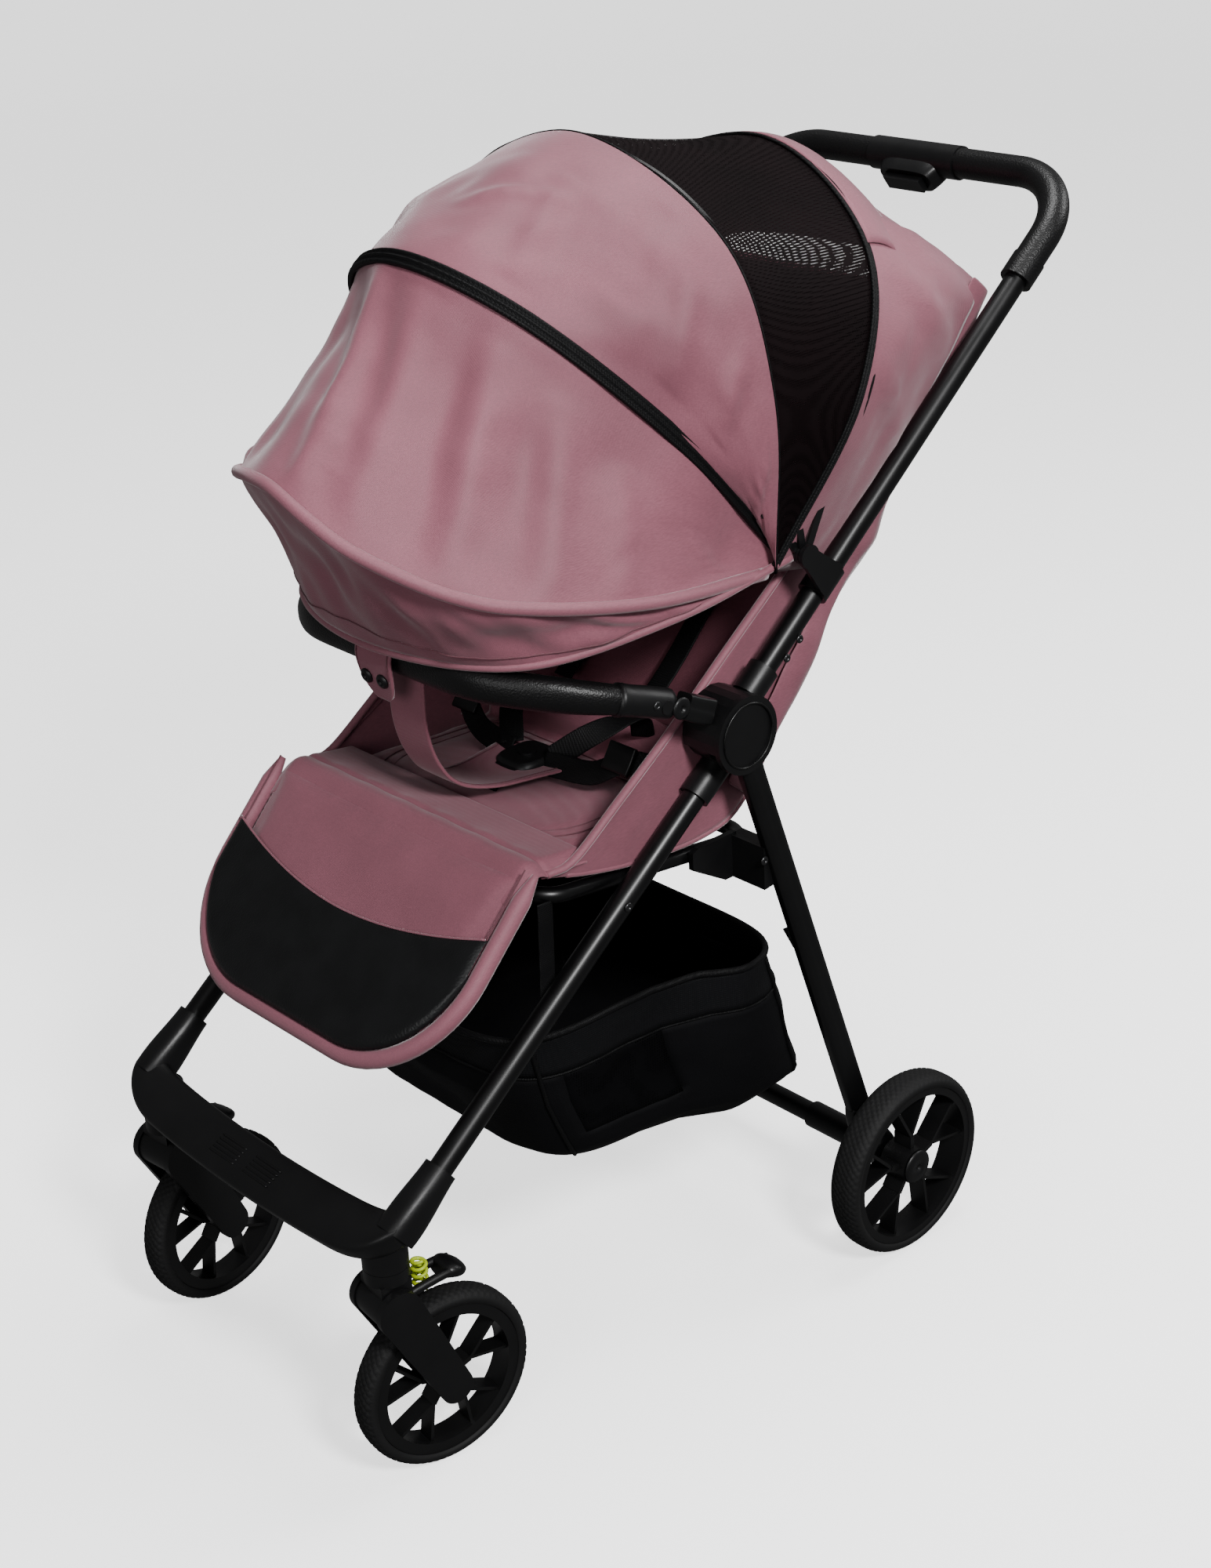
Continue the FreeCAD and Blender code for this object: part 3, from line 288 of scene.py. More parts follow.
def tube_faces(rows, sides, closed=False):
    """Faces of a row of rings: the ends are capped, or joined to each other when it is closed."""
    last = (rows - 1) * sides
    faces = grid_faces(rows, sides, True)
    if closed:
        return faces + [(last + c, last + (c + 1) % sides, (c + 1) % sides, c) for c in range(sides)]
    return faces + [tuple(range(sides))[::-1], tuple(range(last, last + sides))]


def smooth_line(points, count, closed=False):
    """Points evenly along a Catmull-Rom curve through the given points."""
    pts = np.array(points, float)
    if closed:
        ends = np.vstack([pts[-1], pts, pts[0], pts[1]])
    else:
        ends = np.vstack([2 * pts[0] - pts[1], pts, 2 * pts[-1] - pts[-2]])
    fine = []
    for i in range(1, len(ends) - 2):
        p0, p1, p2, p3 = ends[i - 1:i + 3]
        for t in np.linspace(0, 1, 24, endpoint=False):
            fine.append(0.5 * (2 * p1 + (p2 - p0) * t + (2 * p0 - 5 * p1 + 4 * p2 - p3) * t * t
                               + (3 * p1 - p0 - 3 * p2 + p3) * t ** 3))
    fine.append(ends[-2])
    return evenly(np.array(fine), count + 1 if closed else count)[:count]


def mirrored(half, middle):
    """Points from the left side over the middle to the right side."""
    return half + [middle] + [(-x, y, z) for x, y, z in half[::-1]]


def side_line(points, count):
    """Smooth line in the side view, through points given as y from the hub axle and z."""
    return smooth_line([P(0, y, z) for y, z in points], count)


def evenly(line, count):
    steps = np.r_[0, np.cumsum(np.linalg.norm(np.diff(line, axis=0), axis=1))]
    where = np.linspace(0, steps[-1], count)
    return np.stack([np.interp(where, steps, line[:, k]) for k in range(line.shape[1])], 1)


def tube(name, line, radius, finish, body=None, sides=10, closed=False, flat=1.0, up=(0, 0, 1)):
    """Round or flattened tube along a line; radius may vary along it."""
    line = np.array(line, float)
    count = len(line)
    radii = np.full(count, radius) if np.isscalar(radius) else np.array(radius, float)
    tangent = np.roll(line, -1, 0) - np.roll(line, 1, 0)
    if not closed:
        tangent[0], tangent[-1] = line[1] - line[0], line[-1] - line[-2]
    tangent /= np.linalg.norm(tangent, axis=1)[:, None] + 1e-12
    side = np.cross(np.array(up, float), tangent)
    short = np.linalg.norm(side, axis=1) < 1e-4
    side[short] = np.cross((1.0, 0.0, 0.0), tangent[short])
    side /= np.linalg.norm(side, axis=1)[:, None]
    normal = np.cross(tangent, side)
    around = np.linspace(0, 2 * math.pi, sides, endpoint=False)
    verts = [line[i] + radii[i] * (side[i] * math.cos(a) + normal[i] * flat * math.sin(a))
             for i in range(count) for a in around]
    return piece(name, verts, tube_faces(count, sides, closed), finish, body)


def softened(made):
    fine = made.modifiers.new("smooth", "SUBSURF")
    fine.levels = fine.render_levels = 1


def cloth_grid(name, points, finish, thick, body=None):
    """Cloth from a grid of points (rows, columns, 3), given its thickness."""
    points = np.array(points, float)
    rows, columns = points.shape[:2]
    made = piece(name, points.reshape(-1, 3), grid_faces(rows, columns), finish, body)
    shell = made.modifiers.new("thickness", "SOLIDIFY")
    shell.thickness, shell.offset = thick, 0.0
    return made


def declare_sheet(points):
    """Turns the sheet's points into an array; nothing more is done with them."""
    points = np.array(points, float)


def unit(v):
    return v / (np.linalg.norm(v, axis=-1, keepdims=True) + 1e-12)


def normals_of(points):
    across = np.gradient(points, axis=1)
    down = np.gradient(points, axis=0)
    return unit(np.cross(across, down))


def ripple(points, scale, seed, octaves=3):
    """Smooth noise at each point of a grid, about -1 to 1."""
    flat = np.array(points, float).reshape(-1, 3)
    values = [noise.fractal(Vector(scale * p + seed), 0.9, 2.1, octaves) for p in flat]
    return np.array(values).reshape(np.array(points).shape[:-1])


DOME_SIDES = 20


def dome(name, centre, normal, radius, height, finish, body, ring=0.0):
    """Rivet, screw or snap head: a turned cap, with a recess in its crown when ring is given."""
    profile = [(radius, 0.0), (radius, height * 0.45), (radius * 0.82, height * 0.9), (radius * 0.55, height)]
    if ring:
        profile += [(radius * ring, height), (radius * ring * 0.9, height * 0.35)]
    turn = Vector((0, 0, 1)).rotation_difference(Vector(normal)).to_matrix()
    verts = [Vector(centre) + turn @ Vector((r * math.cos(a), r * math.sin(a), h)) for r, h in profile
             for a in np.linspace(0, 2 * math.pi, DOME_SIDES, endpoint=False)]
    return piece(name, verts, tube_faces(len(profile), DOME_SIDES), finish, body)


# ---- canopy ------------------------------------------------------------------------------

SEAM_POINTS = 73


def seam(theta, reach, foot_half, low_half, top_half, top_share, foot):
    """Curve of a canopy seam from foot to foot, in a plane through the canopy's hinge line."""
    half = np.array([(foot_half, 0.0), (low_half, 0.45 * reach), (top_half, top_share * reach), (0.0, reach)])
    outline = np.vstack([half, (half * (-1, 1))[-2::-1]])
    line = smooth_line(outline, SEAM_POINTS)
    a = math.radians(theta)
    return np.stack([line[:, 0], foot[0] + line[:, 1] * math.cos(a) - HUB_TO_MIDDLE,
                     foot[1] + line[:, 1] * math.sin(a)], 1)


REAR_FOOT, FRONT_FOOT = (0.060, 0.765), (0.088, 0.772)
mesh_rear = seam(59.2, 0.399, 0.209, 0.238, 0.178, 0.80, REAR_FOOT)
mesh_front = seam(94.5, 0.3855, 0.215, 0.231, 0.180, 0.81, REAR_FOOT)
zip_line = seam(131.4, 0.4015, 0.199, 0.195, 0.121, 0.85, FRONT_FOOT)
flap_edge = seam(185.9, 0.343, 0.209, 0.208, 0.158, 0.86, FRONT_FOOT)
visor_edge = smooth_line([P(0.207, 0.053, 0.765), P(0.214, -0.087, 0.781), P(0.197, -0.209, 0.8065),
                          P(0.150, -0.2675, 0.824), P(0.080, -0.323, 0.8675), P(0.0, -0.3367, 0.908),
                          P(-0.080, -0.314, 0.899), P(-0.150, -0.258, 0.874), P(-0.197, -0.201, 0.871),
                          P(-0.214, -0.084, 0.807), P(-0.207, 0.053, 0.765)], SEAM_POINTS)


def creases(across, share, folds):
    """Height of named folds, each (across, share) to (across, share), height and width in metres."""
    height = np.zeros(np.broadcast(across, share).shape)
    for a0, s0, a1, s1, rise, width in folds:
        u, v = (across - a0) * 1.05, (share - s0) * 0.36
        du, dv = (a1 - a0) * 1.05, (s1 - s0) * 0.36
        t = np.clip((u * du + v * dv) / (du * du + dv * dv), 0, 1)
        gap = np.hypot(u - t * du, v - t * dv)
        fade = 0.25 + 0.75 * np.sin(np.pi * np.clip(t * 0.9 + 0.05, 0, 1))
        height = height + rise * fade * (np.exp(-(gap / width) ** 2) - 0.45 * np.exp(-(gap / (2.6 * width)) ** 2))
    return height


def between_seams(first, second, rows, bulge, wrinkle, seed, radial, folds=()):
    """Sheet ruled between two seams, bulged outward, with folds running from seam to seam."""
    share = np.linspace(0, 1, rows)[:, None, None]
    sheet = first[None] * (1 - share) + second[None] * share
    out = normals_of(sheet)
    middle = sheet.reshape(-1, 3).mean(0)
    if ((sheet - middle) * out).sum() < 0:
        out = -out
    across = np.linspace(0, 1, first.shape[0])[None, :]
    rise = np.sin(np.pi * share[..., 0]) * np.sin(np.pi * across) ** 0.5
    places = np.stack(np.broadcast_arrays(across * 9.0, share[..., 0] * radial, 0.0 * across), -1)
    pull = ripple(places, 1.0, seed)
    soft = ripple(sheet, 14.0, seed + 5.0, 2)
    named = creases(across, share[..., 0], folds) * np.clip(rise * 3, 0, 1)
    return sheet + out * (bulge * rise + wrinkle * rise ** 0.5 * (0.75 * pull + 0.4 * soft) + named)[..., None]


def canopy_piece(name, points, finish, node, hinge_pair):
    made = cloth_grid(name, points, finish, 0.0014)
    if finish == "pink_fabric":
        softened(made)
    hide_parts(node)
    declare_sheet(points)
    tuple(hinge_pair[0])
    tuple(hinge_pair[1])
    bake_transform(made)


def fold_pair(first, second, share=0.4):
    """Points on two seams part-way up: cloth turns from one bow to the other between them."""
    middle = SEAM_POINTS // 2
    foot = (first[0] + first[-1]) / 2
    return tuple(foot + (first[middle] - foot) * share), tuple(foot + (second[middle] - foot) * share)


net = between_seams(mesh_rear, mesh_front, 14, -0.006, 0.0, 1.0, 1.0)
canopy_piece("canopy_net", net, "black_mesh", "canopy_mesh",
             fold_pair(mesh_rear, mesh_front))
CROWN_FOLDS = ((0.44, 0.30, 0.40, 0.85, 0.012, 0.010), (0.44, 0.40, 0.50, 0.62, 0.010, 0.009),
               (0.30, 0.25, 0.24, 0.75, 0.010, 0.014), (0.22, 0.15, 0.17, 0.70, 0.010, 0.013),
               (0.12, 0.20, 0.07, 0.75, 0.008, 0.009), (0.36, 0.15, 0.33, 0.60, -0.010, 0.018),
               (0.60, 0.30, 0.66, 0.80, 0.006, 0.014), (0.78, 0.20, 0.82, 0.75, 0.006, 0.014))
crown = between_seams(mesh_front, zip_line, 46, 0.011, 0.009, 3.0, 1.6, CROWN_FOLDS)
canopy_piece("canopy_crown", crown, "pink_fabric", "canopy_panel_mid",
             fold_pair(mesh_front, zip_line))
VISOR_FOLDS = ((0.52, 0.02, 0.48, 0.98, 0.020, 0.012), (0.585, 0.05, 0.60, 0.97, 0.018, 0.011),
               (0.46, 0.10, 0.42, 0.95, 0.013, 0.014), (0.41, 0.05, 0.365, 0.95, -0.012, 0.018),
               (0.38, 0.15, 0.33, 0.97, 0.012, 0.014), (0.33, 0.10, 0.28, 0.95, -0.011, 0.020),
               (0.30, 0.20, 0.24, 0.97, 0.009, 0.016), (0.22, 0.30, 0.17, 0.90, 0.008, 0.012),
               (0.12, 0.45, 0.07, 0.75, 0.005, 0.009), (0.66, 0.05, 0.70, 0.95, 0.010, 0.013),
               (0.76, 0.10, 0.80, 0.95, 0.008, 0.014), (0.495, 0.55, 0.46, 0.80, 0.006, 0.007))
visor = between_seams(zip_line, visor_edge, 52, -0.012, 0.010, 7.0, 1.2, VISOR_FOLDS)
canopy_piece("canopy_visor_cloth", visor, "pink_fabric", "canopy_panel_visor",
             fold_pair(zip_line, visor_edge))


def gathered_flap():
    """Short valance under the visor: gathered at the visor's piping, hemmed below."""
    rows, columns = 22, 145
    top = evenly(visor_edge, columns)
    low = evenly(flap_edge, columns)
    share = np.linspace(0, 1, rows)[:, None, None]
    sheet = top[None] * (1 - share) + low[None] * share
    out = normals_of(sheet)
    if (out[:, columns // 2, 1]).mean() > 0:
        out = -out
    across = np.linspace(0, 1, columns)[None, :]
    s = share[..., 0]
    places = np.stack(np.broadcast_arrays(across * 15.0, s * 1.1, 0.0 * across), -1)
    pleats = ripple(places, 1.0, 11.0, 2)
    fall = np.sin(np.pi * np.clip(s, 0, 1)) * np.clip(np.sin(np.pi * across) * 1.6, 0, 1)
    sheet = sheet + out * ((0.004 + 0.013 * pleats) * fall - 0.006 * s * (1 - s) * 4 * fall)[..., None]
    made = cloth_grid("canopy_valance", sheet, "pink_fabric", 0.0012, "canopy_visor")
    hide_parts("canopy_flap")
    declare_sheet(sheet)
    tube("valance_piping", smooth_line(sheet[-1][::4], 120), 0.0042, "pink_trim", "canopy_visor")
    stitch = sheet[-4] + out[-4] * 0.0012
    tube("valance_stitch", stitch, 0.0007, "pink_thread", "canopy_visor", 6)


gathered_flap()
tube("visor_piping", smooth_line(visor_edge[::3], 140), 0.0062, "pink_trim", "canopy_visor", 12)
tube("visor_stitch", evenly(visor[-2], 160), 0.0007, "pink_thread", "canopy_visor", 6)
visor_wire = tube("visor_wire", evenly(visor_edge, 120), 0.0030, "black_plastic", "canopy_visor", 8)
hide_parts("canopy_bow_visor")


def zip_band(name, line, width, finish, body, lift):
    """Flat binding along a seam, with raised edges."""
    line = evenly(line, 120)
    hub = np.array(P(0, 0.08, 0.77))
    out = unit(line - hub)
    tangent = unit(np.gradient(line, axis=0))
    side = unit(np.cross(tangent, out))
    profile = ((-0.5, 0.0), (-0.5, 1.0), (-0.36, 1.4), (-0.30, 0.9), (-0.08, 0.85), (-0.04, 1.5), (0.04, 1.5),
               (0.08, 0.85), (0.30, 0.9), (0.36, 1.4), (0.5, 1.0), (0.5, 0.0))
    verts = [line[i] + side[i] * a * width + out[i] * b * lift for i in range(len(line)) for a, b in profile]
    return piece(name, verts, tube_faces(len(line), len(profile)), finish, body)


zip_band("canopy_zip", zip_line, 0.0150, "black_webbing", "canopy_zip", 0.0042)
zip_band("net_rear_binding", mesh_rear, 0.0085, "black_webbing", "root", 0.0022)
tube("net_front_stitch", evenly(mesh_front, 160) + (0, 0.001, 0.0004), 0.0010, "black_webbing", "canopy_mid", 8)


# ---- back of the canopy and the backrest cover ----------------------------------------------

BACK_ANGLE = math.radians(49.4)
BACK_LENGTH = 0.545


def on_back(x, along, lift):
    """Point on the backrest: x across, distance up from the pivot, height off its rear face."""
    return np.array((x, 0.030 - HUB_TO_MIDDLE + along * math.cos(BACK_ANGLE) - lift * math.sin(BACK_ANGLE),
                     0.532 + along * math.sin(BACK_ANGLE) + lift * math.cos(BACK_ANGLE)))


def rear_hood():
    """Back of the canopy, from the net down to the backrest's edge, with the small tab on top."""
    half = [P(0.194, 0.145, 0.744), P(0.194, 0.240, 0.822), P(0.194, 0.345, 0.926), P(0.160, 0.398, 0.968)]
    back_top = smooth_line(mirrored(half, P(0.0, 0.408, 0.975)), SEAM_POINTS)
    folds = ((0.30, 0.05, 0.24, 0.95, 0.008, 0.016), (0.20, 0.10, 0.14, 0.9, 0.006, 0.012),
             (0.38, 0.05, 0.36, 0.9, -0.007, 0.018), (0.46, 0.1, 0.44, 0.9, 0.007, 0.018),
             (0.60, 0.1, 0.62, 0.9, 0.007, 0.016), (0.75, 0.1, 0.8, 0.9, 0.007, 0.016))
    sheet = between_seams(mesh_rear, back_top, 34, 0.010, 0.006, 19.0, 1.4, folds)
    made = cloth_grid("canopy_back", sheet, "pink_fabric", 0.0014)
    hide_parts("canopy_rear_shell")
    declare_sheet(sheet)
    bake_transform(made)
    tab = []
    for t in np.linspace(0, 1, 8):
        base = mesh_rear[22:46] + (0, 0.002, 0.003)
        tab.append(base + np.array((0, 0.056, -0.030)) * t + np.array((0, 0, 0.007)) * math.sin(math.pi * t))
    flap = cloth_grid("canopy_tab", tab, "pink_fabric", 0.0016, "root")
    declare_sheet(tab)


def back_cover():
    """Cloth behind the backrest: wraps round both sides and hangs a little slack."""
    rows, columns = 40, 61
    sheet = np.zeros((rows, columns, 3))
    for r, share in enumerate(np.linspace(0.0, 1.0, rows)):
        half = 0.186 + 0.006 * math.sin(math.pi * share)
        belly = 0.012 + 0.022 * math.sin(math.pi * min(1.0, share * 1.05))
        outline = [(half, 0.028), (half + 0.001, 0.004), (half - 0.006, -0.010),
                   (half - 0.040, -0.014 - belly * 0.5), (0.0, -0.012 - belly)]
        outline += [(-x, lift) for x, lift in outline[-2::-1]]
        for c, (x, lift) in enumerate(smooth_line(outline, columns)):
            sheet[r, c] = on_back(x, 0.012 + share * (BACK_LENGTH + 0.004), lift)
    out = normals_of(sheet)
    if out[rows // 2, columns // 2, 1] < 0:
        out = -out
    wave = ripple(sheet * (1.6, 1.0, 1.0), 11.0, 23.0) + 0.8 * ripple(sheet * (0.7, 1.0, 1.7), 19.0, 29.0, 2)
    mask = np.sin(np.pi * np.linspace(0, 1, rows))[:, None] ** 0.5
    sheet = sheet + out * (0.008 * wave * mask)[..., None]
    made = cloth_grid("backrest_cover", sheet, "pink_fabric", 0.0014)
    softened(made)
    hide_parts("back_skirt")
    declare_sheet(sheet)
    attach(made, "backrest")


rear_hood()
back_cover()


# ---- padded pieces -----------------------------------------------------------------------

def slab_mesh(name, outline, place, thick, finish, crown=0.3):
    """Closed pad from a plan outline: crowned faces and rounded sides."""
    outline = np.array(outline, float)
    rings = [(0.0, 1.0), (0.30, 1.0), (0.62, 0.92), (0.84, 0.72), (0.965, 0.42), (1.0, 0.0)]
    middle = outline.mean(0)
    verts, faces = [], []
    for sign in (1, -1):
        for share, level in rings[1:] if sign > 0 else rings[1:-1]:
            for p in middle + (outline - middle) * share:
                height = thick / 2 * (1 - crown + crown * (1 - share ** 2)) if level > 0.9 else thick / 2 * level
                verts.append(place(p[0], p[1], sign * height))
    n = len(outline)
    top, bottom = 5, 4
    faces += grid_faces(top, n, True)
    start = top * n
    for r in range(bottom - 1):
        for c in range(n):
            d = (c + 1) % n
            faces.append((start + r * n + d, start + r * n + c, start + (r + 1) * n + c, start + (r + 1) * n + d))
    edge, last = (top - 1) * n, start + (bottom - 1) * n
    faces += [(edge + c, edge + (c + 1) % n, last + (c + 1) % n, last + c) for c in range(n)]
    faces += [tuple(range(n))[::-1], tuple(range(start, start + n))]
    return piece(name, verts, faces, finish)


def plump(made, pressure, cap, voxel=0.006):
    """Blow the pad up gently with cloth simulation, hold every point to the cap, then smooth it."""
    bpy.context.view_layer.objects.active = made
    remesh = made.modifiers.new("remesh", "REMESH")
    remesh.mode, remesh.voxel_size = "VOXEL", voxel
    apply_modifiers(made)
    start = np.array([v.co for v in made.data.vertices])
    cloth = made.modifiers.new("cloth", "CLOTH")
    cloth.settings.use_pressure = True
    cloth.settings.uniform_pressure_force = pressure
    cloth.settings.effector_weights.gravity = 0.0
    cloth.settings.quality = 5
    cloth.point_cache.frame_start, cloth.point_cache.frame_end = 1, 20
    for step in range(1, 21):
        bpy.context.scene.frame_set(step)
    apply_modifiers(made)
    end = np.array([v.co for v in made.data.vertices])
    move = end - start
    far = np.linalg.norm(move, axis=1, keepdims=True)
    end = start + move * np.minimum(1.0, cap / np.maximum(far, 1e-9))
    made.data.vertices.foreach_set("co", end.astype(np.float32).ravel())
    bpy.context.scene.frame_set(1)
    softened(made)
    made.data.polygons.foreach_set("use_smooth", [True] * len(made.data.polygons))
    return made


def apply_modifiers(made):
    settled = bpy.data.meshes.new_from_object(made.evaluated_get(bpy.context.evaluated_depsgraph_get()))
    made.modifiers.clear()
    made.data = settled


def channel(made, line, width, depth, direction):
    """Press a sewn channel into a pad along a line."""
    line = np.array(line, float)
    points = np.array([v.co for v in made.data.vertices])
    press = np.zeros(len(points))
    for a in line:
        gap = np.linalg.norm(points - a, axis=1)
        press = np.maximum(press, np.exp(-(gap / width) ** 2))
    points += np.array(direction, float) * (press * depth)[:, None]
    made.data.vertices.foreach_set("co", points.astype(np.float32).ravel())


SEAT_TILT = math.radians(-3.0)


def on_seat(x, along, lift):
    """Point on the seat pad: distance back from its front edge, height above its middle plane."""
    lift = lift + 0.012
    return np.array((x, -0.202 - HUB_TO_MIDDLE + along * math.cos(SEAT_TILT) - lift * math.sin(SEAT_TILT),
                     0.524 + along * math.sin(SEAT_TILT) + lift * math.cos(SEAT_TILT)))


def rounded_plan(half, y0, y1, front_r, rear_r, step=0.008):
    """Plan outline of a rounded rectangle."""
    points = []
    for cx, cy, r, a0 in ((half - rear_r, y1 - rear_r, rear_r, 0), (-half + rear_r, y1 - rear_r, rear_r, 90),
                          (-half + front_r, y0 + front_r, front_r, 180),
                          (half - front_r, y0 + front_r, front_r, 270)):
        for a in np.radians(np.linspace(a0, a0 + 90, 8)):
            points.append((cx + r * math.cos(a), cy + r * math.sin(a)))
    points = np.array(points + points[:1])
    length = np.linalg.norm(np.diff(points, axis=0), axis=1).sum()
    return evenly(points, int(length / step))[:-1]


def seat_cushion():
    plan = rounded_plan(0.172, 0.001, 0.216, 0.012, 0.02)
    made = slab_mesh("seat_cushion", plan, on_seat, 0.021, "pink_fabric")
    plump(made, 4.0, 0.005)
    for plan, depth in ((rounded_plan(0.138, 0.012, 0.20, 0.075, 0.02), 0.0022),
                        (rounded_plan(0.126, 0.024, 0.19, 0.066, 0.02), 0.0018)):
        front = [on_seat(x, y, 0.013) for x, y in plan]
        channel(made, front, 0.0045, -depth, (0, 0, 1))
        low = evenly(np.array(front + front[:1]), 220)
        low[:, 2] -= 0.0004
        tube("seat_stitch_%d" % round(depth * 1e4), low, 0.0008, "pink_thread", "root", 6)
    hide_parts("seat_pad")
    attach(made, "root")


def back_cushion():
    def place(x, along, lift):
        return on_back(x, along, lift + 0.011)
    # The cushion takes the darker pink copy: painted shade under the canopy.
    made = slab_mesh("back_cushion", rounded_plan(0.166, 0.008, 0.535, 0.02, 0.05, 0.010), place, 0.019,
                     "pink_painted_shade")
    plump(made, 4.0, 0.004, 0.008)
    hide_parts("backrest_pad")
    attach(made, "backrest")


LEG_ANGLE = math.radians(45.8)
LEG_HALF, LEG_DOWN, LEG_CORNER = 0.1900, 0.222, 0.114


def on_legrest(x, down, lift):
    """Point on the leg rest: distance down from the crease, height off its middle plane."""
    lift = lift + 0.010
    return np.array((x, -0.220 - HUB_TO_MIDDLE - down * math.cos(LEG_ANGLE) - lift * math.sin(LEG_ANGLE),
                     0.551 - down * math.sin(LEG_ANGLE) + lift * math.cos(LEG_ANGLE)))


def leg_depth(x):
    """How far down the leg rest reaches at a place across it."""
    over = max(0.0, abs(x) - (LEG_HALF - LEG_CORNER))
    return LEG_DOWN - LEG_CORNER + math.sqrt(max(0.0, LEG_CORNER ** 2 - over ** 2))


PANEL_HALF = 0.1865


def leg_seam(x):
    return 0.108 - 0.036 * (abs(x) / 0.19) ** 1.9


def legrest():
    """Padded leg rest: quilted pink top, leatherette panel below the seam, and piping round its edge."""
    outline = [(LEG_HALF, 0.002)]
    for a in np.linspace(0, math.pi / 2, 14):
        outline.append((LEG_HALF - LEG_CORNER + LEG_CORNER * math.cos(a),
                        LEG_DOWN - LEG_CORNER + LEG_CORNER * math.sin(a)))
    outline = outline + [(-x, y) for x, y in outline[::-1]]
    loop = np.array(outline + outline[:1])
    plan = evenly(loop, 150)[:-1]
    made = slab_mesh("legrest_cushion", plan * (0.985, 0.99), on_legrest, 0.017, "pink_fabric", 0.2)
    plump(made, 4.0, 0.004)
    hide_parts("legrest_pad")
    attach(made, "legrest")
    rows, columns = 22, 61
    panel = np.zeros((rows, columns, 3))
    for c, x in enumerate(np.sin(np.linspace(-1, 1, columns) * math.pi / 2) * PANEL_HALF):
        top, low = leg_seam(x), leg_depth(x / PANEL_HALF * LEG_HALF * 0.999) - 0.004
        low = max(low, top + 0.004)
        for r, t in enumerate(np.linspace(0, 1, rows)):
            down = top + (low - top) * t
            edge = min(1.0, (low - down) / 0.014, (0.1885 - abs(x)) / 0.010)
            lift = 0.0098 + 0.0052 * (1 - (1 - max(0.0, edge)) ** 2) - 0.0012 * (1 - min(1.0, t * 8))
            panel[r, c] = on_legrest(x, down, lift)
    shape = cloth_grid("legrest_leatherette", panel, "pad_leather", 0.0016, "legrest")
    declare_sheet(panel)
    crease = [on_legrest(x, leg_seam(x), 0.0142) for x in np.linspace(-0.1865, 0.1865, 90)]
    tube("legrest_seam", crease, 0.0011, "pink_trim", "legrest", 8)
    rim = [on_legrest(x, y, 0.001) for x, y in evenly(np.array(outline), 170) * (1.004, 1.006)]
    widths = [0.0090 * min(1.0, 0.35 + min(i, len(rim) - 1 - i) / 9.0) for i in range(len(rim))]
    tube("legrest_piping", rim, widths, "pink_trim", "legrest", 14)
    stitch = [on_legrest(x, y, 0.0102) for x, y in evenly(np.array(outline), 170) * (0.972, 0.972)]
    tube("legrest_piping_stitch", stitch, 0.0008, "pink_thread", "legrest", 6)


def front_roll():
    """Cloth that carries the seat's cover over its front edge and down on to the leg rest."""
    profile = side_line([(-0.160, 0.5515), (-0.185, 0.5545), (-0.200, 0.5570), (-0.2075, 0.5585),
                         (-0.2105, 0.5560), (-0.2150, 0.5590), (-0.2260, 0.5600), (-0.2400, 0.5500),
                         (-0.2560, 0.5340)], 34)
    across = np.linspace(-1, 1, 81)
    sheet = np.zeros((34, 81, 3))
    for r, p in enumerate(profile):
        share = r / 33
        half = 0.1835 + 0.0035 * share
        for c, u in enumerate(across):
            drop = 0.010 * max(0.0, abs(u) - 0.93) / 0.07
            pucker = 0.0006 * math.sin(u * 230.0) * math.exp(-((share - 0.45) / 0.10) ** 2)
            sheet[r, c] = (u * half, p[1], p[2] - drop + pucker)
    made = cloth_grid("seat_front_roll", sheet, "pink_fabric", 0.0020)
    softened(made)
    declare_sheet(sheet)
    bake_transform(made)


def seat_fold():
    """Cloth that closes the crease between the seat and the backrest, on both sides of the hinge."""
    across = np.linspace(-1, 1, 61)
    profile = smooth_line([on_seat(0, 0.188, 0.0100), on_seat(0, 0.204, 0.0040),
                           P(0, 0.0165, 0.5250), P(0, 0.0260, 0.5290),
                           on_back(0, 0.012, 0.0160), on_back(0, 0.026, 0.0205), on_back(0, 0.044, 0.0215)], 22)
    sheet = np.zeros((22, 61, 3))
    for r, p in enumerate(profile):
        for c, u in enumerate(across):
            sheet[r, c] = (u * 0.176, p[1], p[2] + 0.0009 * math.sin(u * 37.0 + r * 0.35))
    made = cloth_grid("seat_fold", sheet, "pink_fabric", 0.0020)
    declare_sheet(sheet)
    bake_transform(made)


seat_cushion()
back_cushion()
legrest()
front_roll()
seat_fold()


